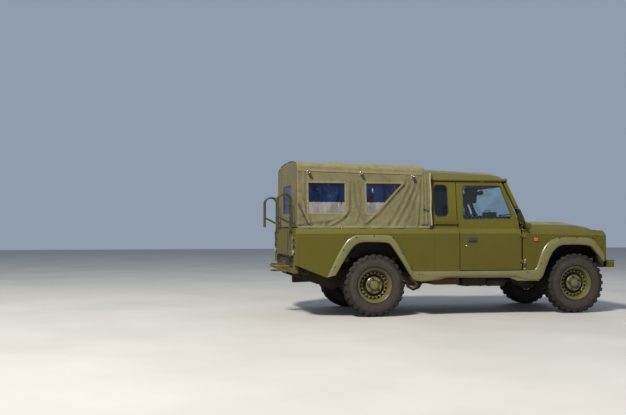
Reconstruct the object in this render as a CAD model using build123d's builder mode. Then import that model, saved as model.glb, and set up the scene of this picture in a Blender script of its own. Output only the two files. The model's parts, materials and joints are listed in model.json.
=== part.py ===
from build123d import *
from math import cos, radians, sin
import os

os.makedirs("parts", exist_ok=True)

# Light 4x4 military cargo truck, in millimetres.
# X runs forward, Y to the vehicle's left and Z up. The origin is on the ground, on the centre
# plane, midway between the bumper's face and the back of the rear step hoops.

# Driving dimensions. The lengths follow each other along the body, from the back forward.
rear_overhang = 1247
axle_to_cab = 786
quarter_length = 336
door_gap = 8
door_length = 856
door_to_axle = 808
front_overhang = 590
track = 1486
tyre_radius = 403
tyre_width = 200
body_half_width = 895
bevel_run = 33
belt_step = 44
gutter_run = 80
sill_z = 564
waist_z = 1132
bevel_height = 64
upper_height = 634
rail_low_z = 480
rail_top_z = 610
kick_low_z = 600
kick_top_z = 700
seat_gap = 0.3
bearing_clearance = 0.05

wheelbase = axle_to_cab + quarter_length + door_gap + door_length + door_to_axle
rear_axle_x = (rear_overhang - wheelbase - front_overhang) / 2
front_axle_x = rear_axle_x + wheelbase
cab_rear_x = rear_axle_x + axle_to_cab
quarter_front_x = cab_rear_x + quarter_length
door_rear_x = quarter_front_x + door_gap
door_front_x = door_rear_x + door_length
wheel_y = track / 2
waist_half_width = body_half_width - bevel_run
belt_half_width = waist_half_width - belt_step
gutter_half_width = belt_half_width - gutter_run
bevel_z = waist_z - bevel_height
gutter_z = waist_z + upper_height


def ahead(distance):
    """The X of a station that lies this far ahead of the rear axle."""
    return rear_axle_x + distance


def fore(distance):
    """The X of a station that lies this far ahead of the front axle."""
    return front_axle_x + distance


def upper_y(z):
    """Half width of the cab's outer face above the waist, where it leans in to the gutter."""
    return belt_half_width - (z - waist_z) * gutter_run / upper_height


def both_sides(half_width, other=0):
    """The Y limits of a block on the left half and of its twin on the right."""
    near, far = sorted((half_width, other))
    return (near, far), (-far, -near)


def block(x, y, z, mode=Mode.ADD):
    """A box between pairs of limits."""
    with Locations((sum(x) / 2, sum(y) / 2, sum(z) / 2)):
        Box(x[1] - x[0], y[1] - y[0], z[1] - z[0], mode=mode)


def side_plate(points, inner_y, outer_y, radius=0, mode=Mode.ADD):
    """A plate on the right half whose outline, in X and Z, is seen from the side.
    The radius is one for all corners, or a list with one for each corner."""
    with BuildSketch(Plane.XZ.offset(inner_y)) as outline:
        with BuildLine():
            if radius:
                FilletPolyline(*points, radius=radius, close=True)
            else:
                Polyline(*points, close=True)
        make_face()
    extrude(outline.sketch, amount=outer_y - inner_y, mode=mode)


def section_bar(points, rear_x, front_x, mode=Mode.ADD):
    """A bar along X on the right half, its section given as half width and height."""
    with BuildSketch(Plane.YZ.offset(rear_x)) as section:
        with BuildLine():
            Polyline(*[(-half_width, z) for half_width, z in points], close=True)
        make_face()
    extrude(section.sketch, amount=front_x - rear_x, mode=mode)


def rod(start, end, radius, mode=Mode.ADD):
    """A round bar between two points."""
    path = Vector(*end) - Vector(*start)
    with BuildSketch(Plane(origin=start, z_dir=path)) as section:
        Circle(radius)
    extrude(section.sketch, amount=path.length, mode=mode)


def hinge_line(x, y_limits, z, radius, mode=Mode.ADD):
    """A round bar across the vehicle, such as a pin or the bore for it."""
    rod((x, y_limits[0], z), (x, y_limits[1], z), radius, mode=mode)


def mirror_across():
    """Adds the left half of a piece from its right half."""
    mirror(about=Plane.XZ)


def put_on_side(side):
    """Leaves a piece drawn on the right where it is, or moves it to the left."""
    if side == "left":
        mirror(about=Plane.XZ, mode=Mode.REPLACE)


def keep(piece, name):
    """Labels a finished piece and writes its file."""
    piece.part.label = name
    export_step(piece.part, f"parts/{name}.step")


# Tyres and steel wheels: a wheel spins about Y on the spindle in its hub bore.
bead_radius = 208
bead_half_width = 72
rim_flange_radius = bead_radius + 14
rim_flange_half_width = bead_half_width + 14
rim_well_radius = bead_radius - 28
rim_wall = 8
hub_bore_radius = 26
hub_bore_end = 30
hub_inner_face = -25
vent_count = 20
vent_radius = 158
vent_size = (12, 14)
crown_drop = 6
tyre_half = tyre_width / 2

# Half of the tyre's section: radius, and distance from the middle of the tread.
tyre_section = [
    (bead_radius + seat_gap, 0),
    (bead_radius + seat_gap, bead_half_width - seat_gap),
    (rim_flange_radius, bead_half_width + 2),
    (rim_flange_radius + 12, tyre_half - 10),
    (tyre_radius - 100, tyre_half),
    (tyre_radius - 40, tyre_half - 5),
    (tyre_radius - 14, tyre_half - 12),
    (tyre_radius - crown_drop, tyre_half - 22),
    (tyre_radius, 0),
]
# Half of the rim's section from the middle out and back: radius and distance outwards.
rim_section = [
    (rim_well_radius, 0),
    (rim_well_radius + 4, 26),
    (bead_radius, 36),
    (bead_radius, bead_half_width),
    (rim_flange_radius - 4, bead_half_width + 6),
    (rim_flange_radius, rim_flange_half_width),
    (rim_flange_radius - rim_wall, rim_flange_half_width),
    (bead_radius - rim_wall, bead_half_width + 4),
    (bead_radius - rim_wall, 40),
    (rim_well_radius - rim_wall, 30),
    (rim_well_radius - rim_wall, 0),
]
# The disc with its hub: outer face from the cap out to the rim, then the inner face back.
disc_section = [
    (0, 62), (44, 62), (50, 56), (57, 36), (100, 36), (108, 50), (122, 50), (132, 38),
    (150, 24), (rim_well_radius - 6, 16), (rim_well_radius - 6, 6), (148, 12), (126, 30),
    (112, 30), (104, 22), (62, 22), (62, hub_inner_face), (hub_bore_radius, hub_inner_face),
    (hub_bore_radius, hub_bore_end), (0, hub_bore_end),
]


def wheel_plane(axle_x, side):
    """The plane of a wheel's section: local X is the radius, local Y points outwards."""
    outwards = 1 if side == "left" else -1
    return Plane(origin=(axle_x, outwards * wheel_y, tyre_radius), x_dir=(1, 0, 0),
                 z_dir=(0, 0, outwards))


def wheel_axis(axle_x, side):
    outwards = 1 if side == "left" else -1
    return Axis((axle_x, outwards * wheel_y, tyre_radius), (0, 1, 0))


def make_tyre(axle_x, side):
    far_half = [(r, -a) for r, a in tyre_section[-2:0:-1]]
    with BuildPart() as tyre:
        with BuildSketch(wheel_plane(axle_x, side)) as section:
            with BuildLine():
                Polyline(*tyre_section, *far_half, close=True)
            make_face()
        revolve(axis=wheel_axis(axle_x, side))
    return tyre


def make_rim(axle_x, side):
    outwards = 1 if side == "left" else -1
    far_half = [(r, -a) for r, a in rim_section[-2:0:-1]]
    with BuildPart() as rim:
        with BuildSketch(wheel_plane(axle_x, side)) as barrel:
            with BuildLine():
                Polyline(*rim_section, *far_half, close=True)
            make_face()
        revolve(axis=wheel_axis(axle_x, side))
        with BuildSketch(wheel_plane(axle_x, side)) as disc:
            with BuildLine():
                Polyline(*disc_section, close=True)
            make_face()
        revolve(axis=wheel_axis(axle_x, side))
        face = Plane(origin=(axle_x, outwards * wheel_y, tyre_radius), x_dir=(1, 0, 0),
                     z_dir=(0, 1, 0))
        with Locations(face):
            with PolarLocations(vent_radius, vent_count):
                Box(*vent_size, tyre_half, mode=Mode.SUBTRACT)
    return rim


for end, axle_x in (("front", front_axle_x), ("rear", rear_axle_x)):
    for side in ("left", "right"):
        keep(make_tyre(axle_x, side), f"tyre_{end}_{side}")
        keep(make_rim(axle_x, side), f"rim_{end}_{side}")

# Places across the vehicle that follow the track: swivel balls, springs, rails, drive line.
swivel_y = wheel_y - 143
spring_y = swivel_y - 130
rail_width = 76
rail_outer_y = spring_y - 58
rail_inner_y = rail_outer_y - rail_width
diff_y = rail_inner_y - 126

# Axles: a tube with a differential, and at the front a swivel ball at each end.
axle_tube_radius = 40
diff_radius = 128
pinion_length = 190
pinion_rise = 12
pinion_radius = 50
spindle_radius = hub_bore_radius - bearing_clearance
spindle_end_y = wheel_y + hub_bore_end - 2
hub_face_y = wheel_y + hub_inner_face - seat_gap
brake_radius = 140
brake_width = 34
tube_end_y = hub_face_y - brake_width
swivel_radius = 76
housing_clearance = 1
housing_thickness = 14
king_pin_radius = 14
king_pin_depth = 26
spring_pad = 120
spring_seat_z = tyre_radius + axle_tube_radius + 22


def axle_middle(axle_x, half_length, pinion_way):
    """The axle tube, its differential and the pinion's nose, forward or back."""
    rod((axle_x, -half_length, tyre_radius), (axle_x, half_length, tyre_radius), axle_tube_radius)
    with Locations((axle_x, diff_y, tyre_radius)):
        Sphere(diff_radius)
    rod((axle_x, diff_y, tyre_radius),
        (axle_x + pinion_way * pinion_length, diff_y, tyre_radius + pinion_rise), pinion_radius)


with BuildPart() as rear_axle:
    axle_middle(rear_axle_x, tube_end_y, 1)
    for outwards in (1, -1):
        for end_y, radius in ((hub_face_y, brake_radius), (spindle_end_y, spindle_radius)):
            rod((rear_axle_x, outwards * tube_end_y, tyre_radius),
                (rear_axle_x, outwards * end_y, tyre_radius), radius)
        block((ahead(-spring_pad / 2), ahead(spring_pad / 2)),
              (outwards * spring_y - spring_pad / 2, outwards * spring_y + spring_pad / 2),
              (tyre_radius + 20, spring_seat_z))
keep(rear_axle, "rear_axle")

with BuildPart() as front_axle:
    axle_middle(front_axle_x, swivel_y, -1)
    for outwards in (1, -1):
        with Locations((front_axle_x, outwards * swivel_y, tyre_radius)):
            Sphere(swivel_radius)
            Cylinder(king_pin_radius + bearing_clearance, 3 * swivel_radius, mode=Mode.SUBTRACT)
        block((fore(-spring_pad / 2), fore(spring_pad / 2)),
              (outwards * spring_y - spring_pad / 2 + 15, outwards * spring_y + spring_pad / 2 - 15),
              (tyre_radius + 20, spring_seat_z))
keep(front_axle, "front_axle")

# Knuckles: a housing round the swivel ball, king pins, the spindle, a brake and a steering arm.
steering_arm_back = 190
arm_half_height = 12
arm_half_width = 16
steering_arm_z = tyre_radius - 38
ball_pin_radius = 9
track_rod_radius = 14
rod_eye_half_height = 16
track_rod_z = steering_arm_z - arm_half_height - seat_gap - rod_eye_half_height
housing_radius = swivel_radius + housing_clearance + housing_thickness


def make_knuckle(side):
    centre = (front_axle_x, -swivel_y, tyre_radius)
    hub = (front_axle_x, -hub_face_y, tyre_radius)
    with BuildPart() as knuckle:
        with Locations(centre):
            Sphere(housing_radius)
        rod(centre, hub, 64)
        rod((front_axle_x, -tube_end_y, tyre_radius), hub, brake_radius)
        with Locations(centre):
            Sphere(swivel_radius + housing_clearance, mode=Mode.SUBTRACT)
            Cylinder(34, 2 * housing_radius + 16)
            Sphere(swivel_radius + housing_clearance, mode=Mode.SUBTRACT)
        pin_length = king_pin_depth + housing_clearance + housing_thickness
        for up in (1, -1):
            top = tyre_radius + up * (housing_radius + 4)
            rod((front_axle_x, -swivel_y, top), (front_axle_x, -swivel_y, top - up * pin_length),
                king_pin_radius)
        block((fore(-2 * housing_radius), fore(2 * housing_radius)),
              (22 - swivel_y, 300 - swivel_y), (0, 2 * tyre_radius), mode=Mode.SUBTRACT)
        block((fore(-steering_arm_back - 18), fore(-swivel_radius - 6)),
              (-swivel_y - arm_half_width, arm_half_width - swivel_y),
              (steering_arm_z - arm_half_height, steering_arm_z + arm_half_height))
        rod((front_axle_x, 2 - hub_face_y, tyre_radius), (front_axle_x, -spindle_end_y, tyre_radius),
            spindle_radius)
        with Locations((fore(-steering_arm_back), -swivel_y, steering_arm_z)):
            Cylinder(ball_pin_radius + bearing_clearance, 4 * arm_half_height, mode=Mode.SUBTRACT)
        put_on_side(side)
    return knuckle


for side in ("left", "right"):
    keep(make_knuckle(side), f"knuckle_{side}")

with BuildPart() as track_rod:
    rod_x = fore(-steering_arm_back)
    pin_height = 2 * arm_half_height + 10
    rod((rod_x, -swivel_y, track_rod_z), (rod_x, swivel_y, track_rod_z), track_rod_radius)
    for pin_y in (-swivel_y, swivel_y):
        with Locations((rod_x, pin_y, track_rod_z)):
            Cylinder(2 * ball_pin_radius, 2 * rod_eye_half_height)
        with Locations((rod_x, pin_y, track_rod_z + rod_eye_half_height + arm_half_height)):
            Cylinder(ball_pin_radius, pin_height)
keep(track_rod, "track_rod")

# The bed's rear edge, and the tailgate that hangs on two pins between ears below it.
bed_floor_z = kick_top_z + 76
bed_rear_x = ahead(-1040)
tailgate_half_width = body_half_width - 211
tailgate_rear_x = bed_rear_x - 8
tailgate_front_x = bed_rear_x + 24
tailgate_low_z = bed_floor_z + 8
tailgate_hinge_x = tailgate_rear_x - 9
tailgate_hinge_z = tailgate_low_z - 10
tailgate_hinge_y = (164 - tailgate_half_width, tailgate_half_width - 164)
tailgate_pin_radius = 5
tailgate_lug_half = 30
ear_gap = 1
ear_thickness = 8

# Chassis frame: two box rails, each welded from five straight lengths so that they rise over the
# axles, with cross members between them and outriggers that carry the cab.
floor_sheet = 22
crossmember_rear_x = bed_rear_x
crossmember_front_x = bed_rear_x + 60
crossmember_top_z = bed_floor_z - floor_sheet - 6
crossmember_low_z = crossmember_top_z - 120
crossmember_half_width = tailgate_half_width - 44
bumper_rear_x = fore(front_overhang - 156)
# Welds between the lengths: X at the rail's low edge, its height, X at the top edge, its height.
rail_welds = [
    (crossmember_front_x, kick_low_z + 40, crossmember_front_x, kick_top_z),
    (ahead(350), kick_low_z, ahead(480), kick_top_z),
    (ahead(600), rail_low_z, ahead(700), rail_top_z),
    (fore(-464), rail_low_z, fore(-494), rail_top_z),
    (fore(-294), kick_low_z, fore(-314), kick_top_z),
    (bumper_rear_x, kick_low_z + 14, bumper_rear_x, kick_top_z),
]
# Tubes between the rails: X, height.
frame_tubes = [(ahead(-430), kick_low_z + 50), (ahead(520), kick_low_z + 40),
               (cab_rear_x + 714, rail_low_z + 60)]
tube_radius = 34
outriggers = [cab_rear_x - 46, cab_rear_x + 394, door_front_x + 74]
outrigger_half = 30
outrigger_low_z = rail_low_z + 40
outrigger_top_z = rail_top_z - 20
door_thickness = 60
frame_thickness = 34
post_outer_y = body_half_width - door_thickness - 7
floor_half_width = post_outer_y - 29

with BuildPart() as frame:
    for start, weld in zip(rail_welds, rail_welds[1:]):
        side_plate([(start[0] + seat_gap, start[1]), (weld[0], weld[1]), (weld[2], weld[3]),
                    (start[2] + seat_gap, start[3])], rail_inner_y, rail_outer_y)
    mirror_across()
keep(frame, "frame")

with BuildPart() as crossmembers:
    for outrigger_x in outriggers:
        block((outrigger_x - outrigger_half, outrigger_x + outrigger_half),
              (-floor_half_width, -rail_outer_y - seat_gap), (outrigger_low_z, outrigger_top_z))
    mirror_across()
    tube_end = rail_inner_y - seat_gap
    for tube_x, tube_z in frame_tubes:
        rod((tube_x, -tube_end, tube_z), (tube_x, tube_end, tube_z), tube_radius)
    block((bumper_rear_x - 70, bumper_rear_x), (-tube_end, tube_end), (kick_low_z + 14, kick_top_z - 20))
    block((crossmember_rear_x, crossmember_front_x - seat_gap),
          (-crossmember_half_width, crossmember_half_width), (crossmember_low_z, crossmember_top_z))
    for lug_y in tailgate_hinge_y:
        ear_y = tailgate_lug_half + ear_gap
        for low_y, high_y in both_sides(ear_y, ear_y + ear_thickness):
            block((tailgate_hinge_x - 8, crossmember_rear_x + 10), (lug_y + low_y, lug_y + high_y),
                  (crossmember_top_z - 48, tailgate_hinge_z + 8))
        hinge_line(tailgate_hinge_x, (lug_y - ear_y - 4, lug_y + ear_y + 4), tailgate_hinge_z,
                   tailgate_pin_radius)
keep(crossmembers, "crossmembers")

# Coil springs stand on the axles under towers on the rails.
spring_radius = 52
spring_top_z = {"front": kick_top_z + 15, "rear": kick_top_z - 10}
tower_half = 62
tower_plate = 20
tower_leg = 8
with BuildPart() as springs:
    for end, axle_x in (("front", front_axle_x), ("rear", rear_axle_x)):
        for spring_side in (-spring_y, spring_y):
            rod((axle_x, spring_side, spring_seat_z + seat_gap),
                (axle_x, spring_side, spring_top_z[end] - seat_gap), spring_radius)
keep(springs, "springs")

with BuildPart() as spring_towers:
    for end, axle_x in (("front", front_axle_x), ("rear", rear_axle_x)):
        block((axle_x - tower_half, axle_x + tower_half),
              (-spring_y - tower_half, -rail_outer_y - seat_gap),
              (spring_top_z[end], spring_top_z[end] + tower_plate))
        for leg_x in (axle_x - tower_half, axle_x + tower_half - tower_leg):
            block((leg_x, leg_x + tower_leg), (-rail_outer_y - 20, -rail_outer_y - seat_gap),
                  (kick_low_z + 10, spring_top_z[end]))
    mirror_across()
keep(spring_towers, "spring_towers")

# Radius arms at the front and trailing links at the rear tie the axles to the frame.
link_y = (rail_inner_y + rail_outer_y) / 2
link_radius = 22
bush_half = 30
# Links: X at the axle, offset of the bush block there, height at the axle, X and height at the
# frame's bracket.
link_rows = [
    (front_axle_x, -30, axle_tube_radius + 26, fore(-900), rail_low_z - 60),
    (rear_axle_x, 20, -axle_tube_radius - 26, ahead(860), rail_low_z - 34),
]
with BuildPart() as links:
    for axle_x, start, rise, bracket_x, bracket_z in link_rows:
        rod((axle_x + start, -link_y, tyre_radius + rise), (bracket_x, -link_y, bracket_z), link_radius)
        block((axle_x - 60, axle_x + 60), (-link_y - 26, 26 - link_y),
              (tyre_radius + rise - link_radius, tyre_radius + rise + link_radius))
        block((bracket_x - bush_half, bracket_x + bush_half), (-link_y - bush_half, bush_half - link_y),
              (rail_low_z - 82, rail_low_z - seat_gap))
    mirror_across()
keep(links, "links")

# Engine, gearbox with transfer case, and the two propeller shafts.
engine_half_width = 210
engine_rear_x = fore(-354)
engine_mount_x = fore(-64)
with BuildPart() as engine_block:
    block((engine_rear_x, fore(246)), (-engine_half_width, engine_half_width), (600, 1040))
    fillet(engine_block.edges().filter_by(Axis.X), radius=40)
    for arm in both_sides(rail_inner_y - seat_gap, engine_half_width - 10):
        block((engine_mount_x - 30, engine_mount_x + 30), arm, (640, 668))
keep(engine_block, "engine_block")

bell_radius = 185
bell_length = 200
gearbox_radius = 110
gearbox_rear_x = door_rear_x + 510
case_length = 260
case_half_width = 110
shaft_z = 470
with BuildPart() as gearbox:
    rod((engine_rear_x - seat_gap, 0, 670), (engine_rear_x - bell_length, 0, 670), bell_radius)
    rod((engine_rear_x - bell_length + 20, 0, 650), (gearbox_rear_x + 120, 0, 560), gearbox_radius)
    block((gearbox_rear_x, gearbox_rear_x + case_length), (-case_half_width, diff_y + 70), (400, 600))
    block((gearbox_rear_x + 60, gearbox_rear_x + 120), (seat_gap - rail_inner_y, rail_inner_y - seat_gap),
          (560, 590))
keep(gearbox, "gearbox")

shaft_gap = 2
with BuildPart() as propshafts:
    rod((gearbox_rear_x - shaft_gap, diff_y, shaft_z),
        (ahead(pinion_length + 1), diff_y, tyre_radius + pinion_rise + 2), 32)
    rod((gearbox_rear_x + case_length + shaft_gap, diff_y, shaft_z),
        (fore(-pinion_length - shaft_gap), diff_y, tyre_radius + pinion_rise + 2), 28)
keep(propshafts, "propshafts")

with BuildPart() as fuel_tank:
    tank_gap = outrigger_half + seat_gap
    block((outriggers[0] + tank_gap, outriggers[1] - tank_gap),
          (9 - floor_half_width, -rail_outer_y - 28), (400, 600))
    fillet(fuel_tank.edges().filter_by(Axis.Y), radius=40)
keep(fuel_tank, "fuel_tank")

# Exhaust on the left: down pipe, silencer, and a tail pipe over the rear axle.
pipe_radius = 24
silencer_radius = 75
tail_box_radius = 62
down_pipe_y = rail_inner_y - 24
silencer_y = rail_outer_y + 88
tail_pipe_y = wheel_y - tyre_half - 77
silencer_z = rail_low_z - 70
tail_pipe_z = tyre_radius + 142
silencer_x = (ahead(1000), gearbox_rear_x - 40)
exhaust_route = [
    (fore(-414), down_pipe_y - 22, silencer_z + 150), (fore(-834), down_pipe_y, silencer_z + 30),
    (fore(-974), down_pipe_y, silencer_z + 20), (gearbox_rear_x - 80, silencer_y, silencer_z),
]
exhaust_tail = [
    (silencer_x[0], silencer_y, silencer_z), (ahead(560), silencer_y, silencer_z + 20),
    (ahead(330), tail_pipe_y, tail_pipe_z), (ahead(-250), tail_pipe_y, tail_pipe_z),
    (ahead(-500), tail_pipe_y, tyre_radius + 37),
]
# Hangers: X, the pipe's side that the strap reaches, its low and high ends.
hangers = [(ahead(1300), silencer_y - 30, silencer_z + 30, rail_low_z + 17),
           (ahead(-700), tail_pipe_y - 6, tyre_radius + 77, kick_low_z + 50)]
with BuildPart() as exhaust:
    for route in (exhaust_route, exhaust_tail):
        for start, finish in zip(route, route[1:]):
            rod(start, finish, pipe_radius)
            with Locations(start):
                Sphere(pipe_radius)
    rod((silencer_x[1], silencer_y, silencer_z), (silencer_x[0], silencer_y, silencer_z), silencer_radius)
    rod((ahead(-480), tail_pipe_y, tyre_radius + 37), (ahead(-840), tail_pipe_y, tyre_radius + 27),
        tail_box_radius)
    for hanger_x, reach_y, low_z, high_z in hangers:
        block((hanger_x - 12, hanger_x + 12), (rail_outer_y + seat_gap, reach_y), (high_z - 10, high_z))
        block((hanger_x - 12, hanger_x + 12), (reach_y - 12, reach_y), (low_z, high_z))
keep(exhaust, "exhaust")

# Sills: pressed steel below the doors and the front of the bed.
sill_outline = [
    (ahead(500), sill_z - 14), (ahead(528), sill_z - 75), (cab_rear_x + 28, sill_z - 96),
    (cab_rear_x + 155, sill_z - 64), (door_front_x - 171, sill_z - 73),
    (door_front_x - 60, sill_z - 118), (fore(-560), sill_z - 121), (fore(-614), sill_z - 14),
]
with BuildPart() as sills:
    side_plate(sill_outline, body_half_width - door_thickness, body_half_width + 6)
    block((ahead(500), fore(-614)), (-body_half_width, -floor_half_width - 1), (sill_z - 14, sill_z))
    mirror_across()
keep(sills, "sills")

# Cab floor with its seat boxes and tunnel.
bulkhead_x = door_front_x + 84
floor_z = rail_top_z + 30
floor_plate = 14
seat_box_z = floor_z + 220
seat_box_x = (door_rear_x + 110, door_rear_x + 530)
tunnel_half_width = 160
tunnel_z = floor_z + 150
tunnel_inner_y = tunnel_half_width - floor_plate
with BuildPart() as cab_floor:
    block((cab_rear_x + 24, bulkhead_x), (-floor_half_width, floor_half_width),
          (floor_z - floor_plate, floor_z))
    block((gearbox_rear_x - 20, bulkhead_x), (-tunnel_half_width, tunnel_half_width),
          (floor_z - floor_plate, tunnel_z))
    block((gearbox_rear_x - 40, bulkhead_x + 10), (-tunnel_inner_y, tunnel_inner_y),
          (floor_z - 20, tunnel_z - floor_plate), mode=Mode.SUBTRACT)
    for across in both_sides(tunnel_half_width + 10, floor_half_width):
        block(seat_box_x, across, (floor_z, seat_box_z))
    for across in both_sides(rail_outer_y + seat_gap, floor_half_width):
        for outrigger_x in outriggers[1:]:
            block((outrigger_x - 24, outrigger_x), across, (outrigger_top_z, floor_z - floor_plate))
keep(cab_floor, "cab_floor")

# The bonnet's hinge line: pins on ears of the scuttle, lugs on the bonnet.
bonnet_half_width = 690
bonnet_hinge_x = bulkhead_x + 104
bonnet_hinge_z = waist_z + 114
bonnet_hinge_y = (290 - bonnet_half_width, bonnet_half_width - 290)
bonnet_pin_radius = 4
bonnet_lug_half = 20

# Bulkhead and scuttle between the engine bay and the cab.
bulkhead_plate = 20
scuttle_z = waist_z + 96
scuttle_step = 20
with BuildPart() as bulkhead:
    wall = (bulkhead_x, bulkhead_x + bulkhead_plate)
    block(wall, (-post_outer_y, post_outer_y), (rail_top_z + seat_gap, waist_z - 15))
    block(wall, (10 - bonnet_half_width, bonnet_half_width - 10), (waist_z - 15, waist_z))
    block((bulkhead_x, bulkhead_x + 95), (-belt_half_width, belt_half_width),
          (waist_z, scuttle_z - scuttle_step))
    block((bulkhead_x, bulkhead_x + 30), (-belt_half_width, belt_half_width),
          (scuttle_z - scuttle_step, scuttle_z))
    block((bulkhead_x - 5, bulkhead_x + 25), (-tunnel_inner_y, tunnel_inner_y),
          (rail_top_z, tunnel_z - floor_plate), mode=Mode.SUBTRACT)
    for across in both_sides(floor_half_width + seat_gap, post_outer_y):
        block((bulkhead_x - 62, bulkhead_x + bulkhead_plate), across, (sill_z + seat_gap, waist_z - 15))
    for lug_y in bonnet_hinge_y:
        ear_y = bonnet_lug_half + ear_gap
        for low_y, high_y in both_sides(ear_y, ear_y + ear_thickness):
            ear = (lug_y + low_y, lug_y + high_y)
            block((bonnet_hinge_x - 16, bonnet_hinge_x + 5), ear, (waist_z + 20, bonnet_hinge_z + 6))
            block((bulkhead_x + 90, bonnet_hinge_x), ear, (waist_z + 20, scuttle_z - scuttle_step))
        hinge_line(bonnet_hinge_x, (lug_y - ear_y - 4, lug_y + ear_y + 4), bonnet_hinge_z,
                   bonnet_pin_radius)
keep(bulkhead, "bulkhead")

# Seats: soft cushions and backs on the seat boxes.
seat_y = floor_half_width - 344
seat_half_width = 225
seat_corner = 24
seat_back_x = door_rear_x + 155
cushion_z = seat_box_z + seat_gap
cushion_outline = [
    (seat_back_x, cushion_z), (seat_back_x + 435, cushion_z), (seat_back_x + 435, cushion_z + 125),
    (seat_back_x, cushion_z + 95),
]
squab_outline = [
    (seat_back_x - seat_gap, cushion_z), (seat_back_x - seat_gap, cushion_z + 150),
    (seat_back_x - 105, cushion_z + 640), (seat_back_x - 195, cushion_z + 620),
    (seat_back_x - 110, cushion_z),
]
with BuildPart() as seats:
    for centre_y in (-seat_y, seat_y):
        for outline in (cushion_outline, squab_outline):
            side_plate(outline, centre_y - seat_half_width, centre_y + seat_half_width,
                       radius=seat_corner)
keep(seats, "seats")

# Steering wheel on its column, on the left, and the dashboard that holds the column.
steer_centre = Vector(door_front_x - 226, seat_y - 55, waist_z + 68)
steer_lean = radians(32)
column_way = Vector(cos(steer_lean), 0, -sin(steer_lean))
column_radius = 22
steer_radius = 195
with BuildPart() as steering_wheel:
    with Locations(Plane(origin=steer_centre, x_dir=(0, 1, 0), z_dir=-column_way)):
        Torus(steer_radius, 13)
        Cylinder(40, 30)
        Box(2 * steer_radius, 26, 12)
        Box(26, 2 * steer_radius, 12)
    rod(steer_centre, steer_centre + column_way * 160, column_radius)
keep(steering_wheel, "steering_wheel")

dashboard_half_width = bonnet_half_width - 10
dashboard_outline = [
    (bulkhead_x - seat_gap, waist_z - 172), (bulkhead_x - 190, waist_z - 132),
    (bulkhead_x - 220, waist_z - 2), (bulkhead_x - 170, waist_z + 68),
    (bulkhead_x - seat_gap, waist_z + 68),
]
with BuildPart() as dashboard:
    side_plate(dashboard_outline, -dashboard_half_width, dashboard_half_width)
    rod(steer_centre - column_way * 70, steer_centre + column_way * 165, column_radius + seat_gap,
        mode=Mode.SUBTRACT)
keep(dashboard, "dashboard")

# The doors hang on pins that stand outside the skin, carried by leaves on the wings.
hinge_x = door_front_x + 10
hinge_y = body_half_width + 9
hinge_pin_radius = 5
hinge_barrel_radius = 10
hinge_heights = (sill_z + 126, bevel_z - 38)
hinge_height = 30
leaf_height = 13
leaf_outer_y = hinge_y + 6

# Wheel arches. Columns: distance ahead of the axle, height above it, corner radius.
rear_arch = [
    (-560, 37, 0), (-532, 143, 100), (-345, 460, 100), (-257, 539, 100), (-166, 562, 100),
    (137, 554, 100), (198, 524, 100), (472, 104, 100), (490, 37, 0),
]
front_arch = [
    (-546, 37, 0), (-393, 396, 100), (-299, 492, 100), (-222, 518, 100), (160, 514, 100),
    (217, 472, 100), (369, 286, 60), (369, 37, 0),
]
# Outer edges of the flares, in the same columns.
rear_flare = [
    (-643, 116, 10), (-421, 563, 100), (-285, 648, 100), (168, 649, 100), (237, 620, 100),
    (479, 192, 100), (500, 148, 20),
]
front_flare = [
    (-504, 148, 10), (-612, 148, 10), (-516, 450, 100), (-411, 572, 100), (-277, 619, 100),
    (161, 613, 100), (256, 570, 100), (381, 392, 60),
]


def wheel_outline(axle_x, rows, inner_y, outer_y, mode=Mode.ADD):
    """A plate whose rounded outline is given round a wheel's centre."""
    points = [(axle_x + distance, tyre_radius + rise) for distance, rise, radius in rows]
    side_plate(points, inner_y, outer_y, radius=[radius for distance, rise, radius in rows], mode=mode)


# Front wings: a flat top plate and an outer skin with the wheel arch, over an inner wing.
panel_front_x = fore(front_overhang - 166)
wing_rear_x = door_front_x + 20
wing_front_x = panel_front_x - 11
wing_skin = 14
wing_nose = 40
bonnet_gap = 6
wing_inner_y = bonnet_half_width + bonnet_gap
wing_back_wall_x = bulkhead_x + 96
outside = (bonnet_half_width - 90, body_half_width + 55)
with BuildPart() as wings:
    fold_y = waist_half_width - 10
    section_bar([(body_half_width, sill_z), (body_half_width, bevel_z), (waist_half_width, waist_z),
                 (fold_y, waist_z - wing_skin), (body_half_width - wing_skin, bevel_z - 6),
                 (body_half_width - wing_skin, sill_z)], wing_rear_x, wing_front_x)
    section_bar([(waist_half_width - seat_gap, waist_z), (wing_inner_y, waist_z),
                 (wing_inner_y, waist_z - wing_skin), (fold_y - seat_gap, waist_z - wing_skin)],
                wing_rear_x, wing_front_x)
    side_plate([(wing_front_x - wing_nose, waist_z + 10), (wing_front_x + 10, bevel_z - 10),
                (wing_front_x + 10, waist_z + 10)], *outside, mode=Mode.SUBTRACT)
    wheel_outline(front_axle_x, front_arch, *outside, mode=Mode.SUBTRACT)
    for hinge_z in hinge_heights:
        block((hinge_x, wing_rear_x + 34), (-leaf_outer_y, -body_half_width),
              (hinge_z - leaf_height - 1, hinge_z - 1))
        with Locations((hinge_x, -hinge_y, hinge_z - 1 - leaf_height / 2)):
            Cylinder(hinge_barrel_radius, leaf_height)
        rod((hinge_x, -hinge_y, hinge_z - leaf_height), (hinge_x, -hinge_y, hinge_z + hinge_height),
            hinge_pin_radius)
    mirror_across()
keep(wings, "wings")

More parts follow.
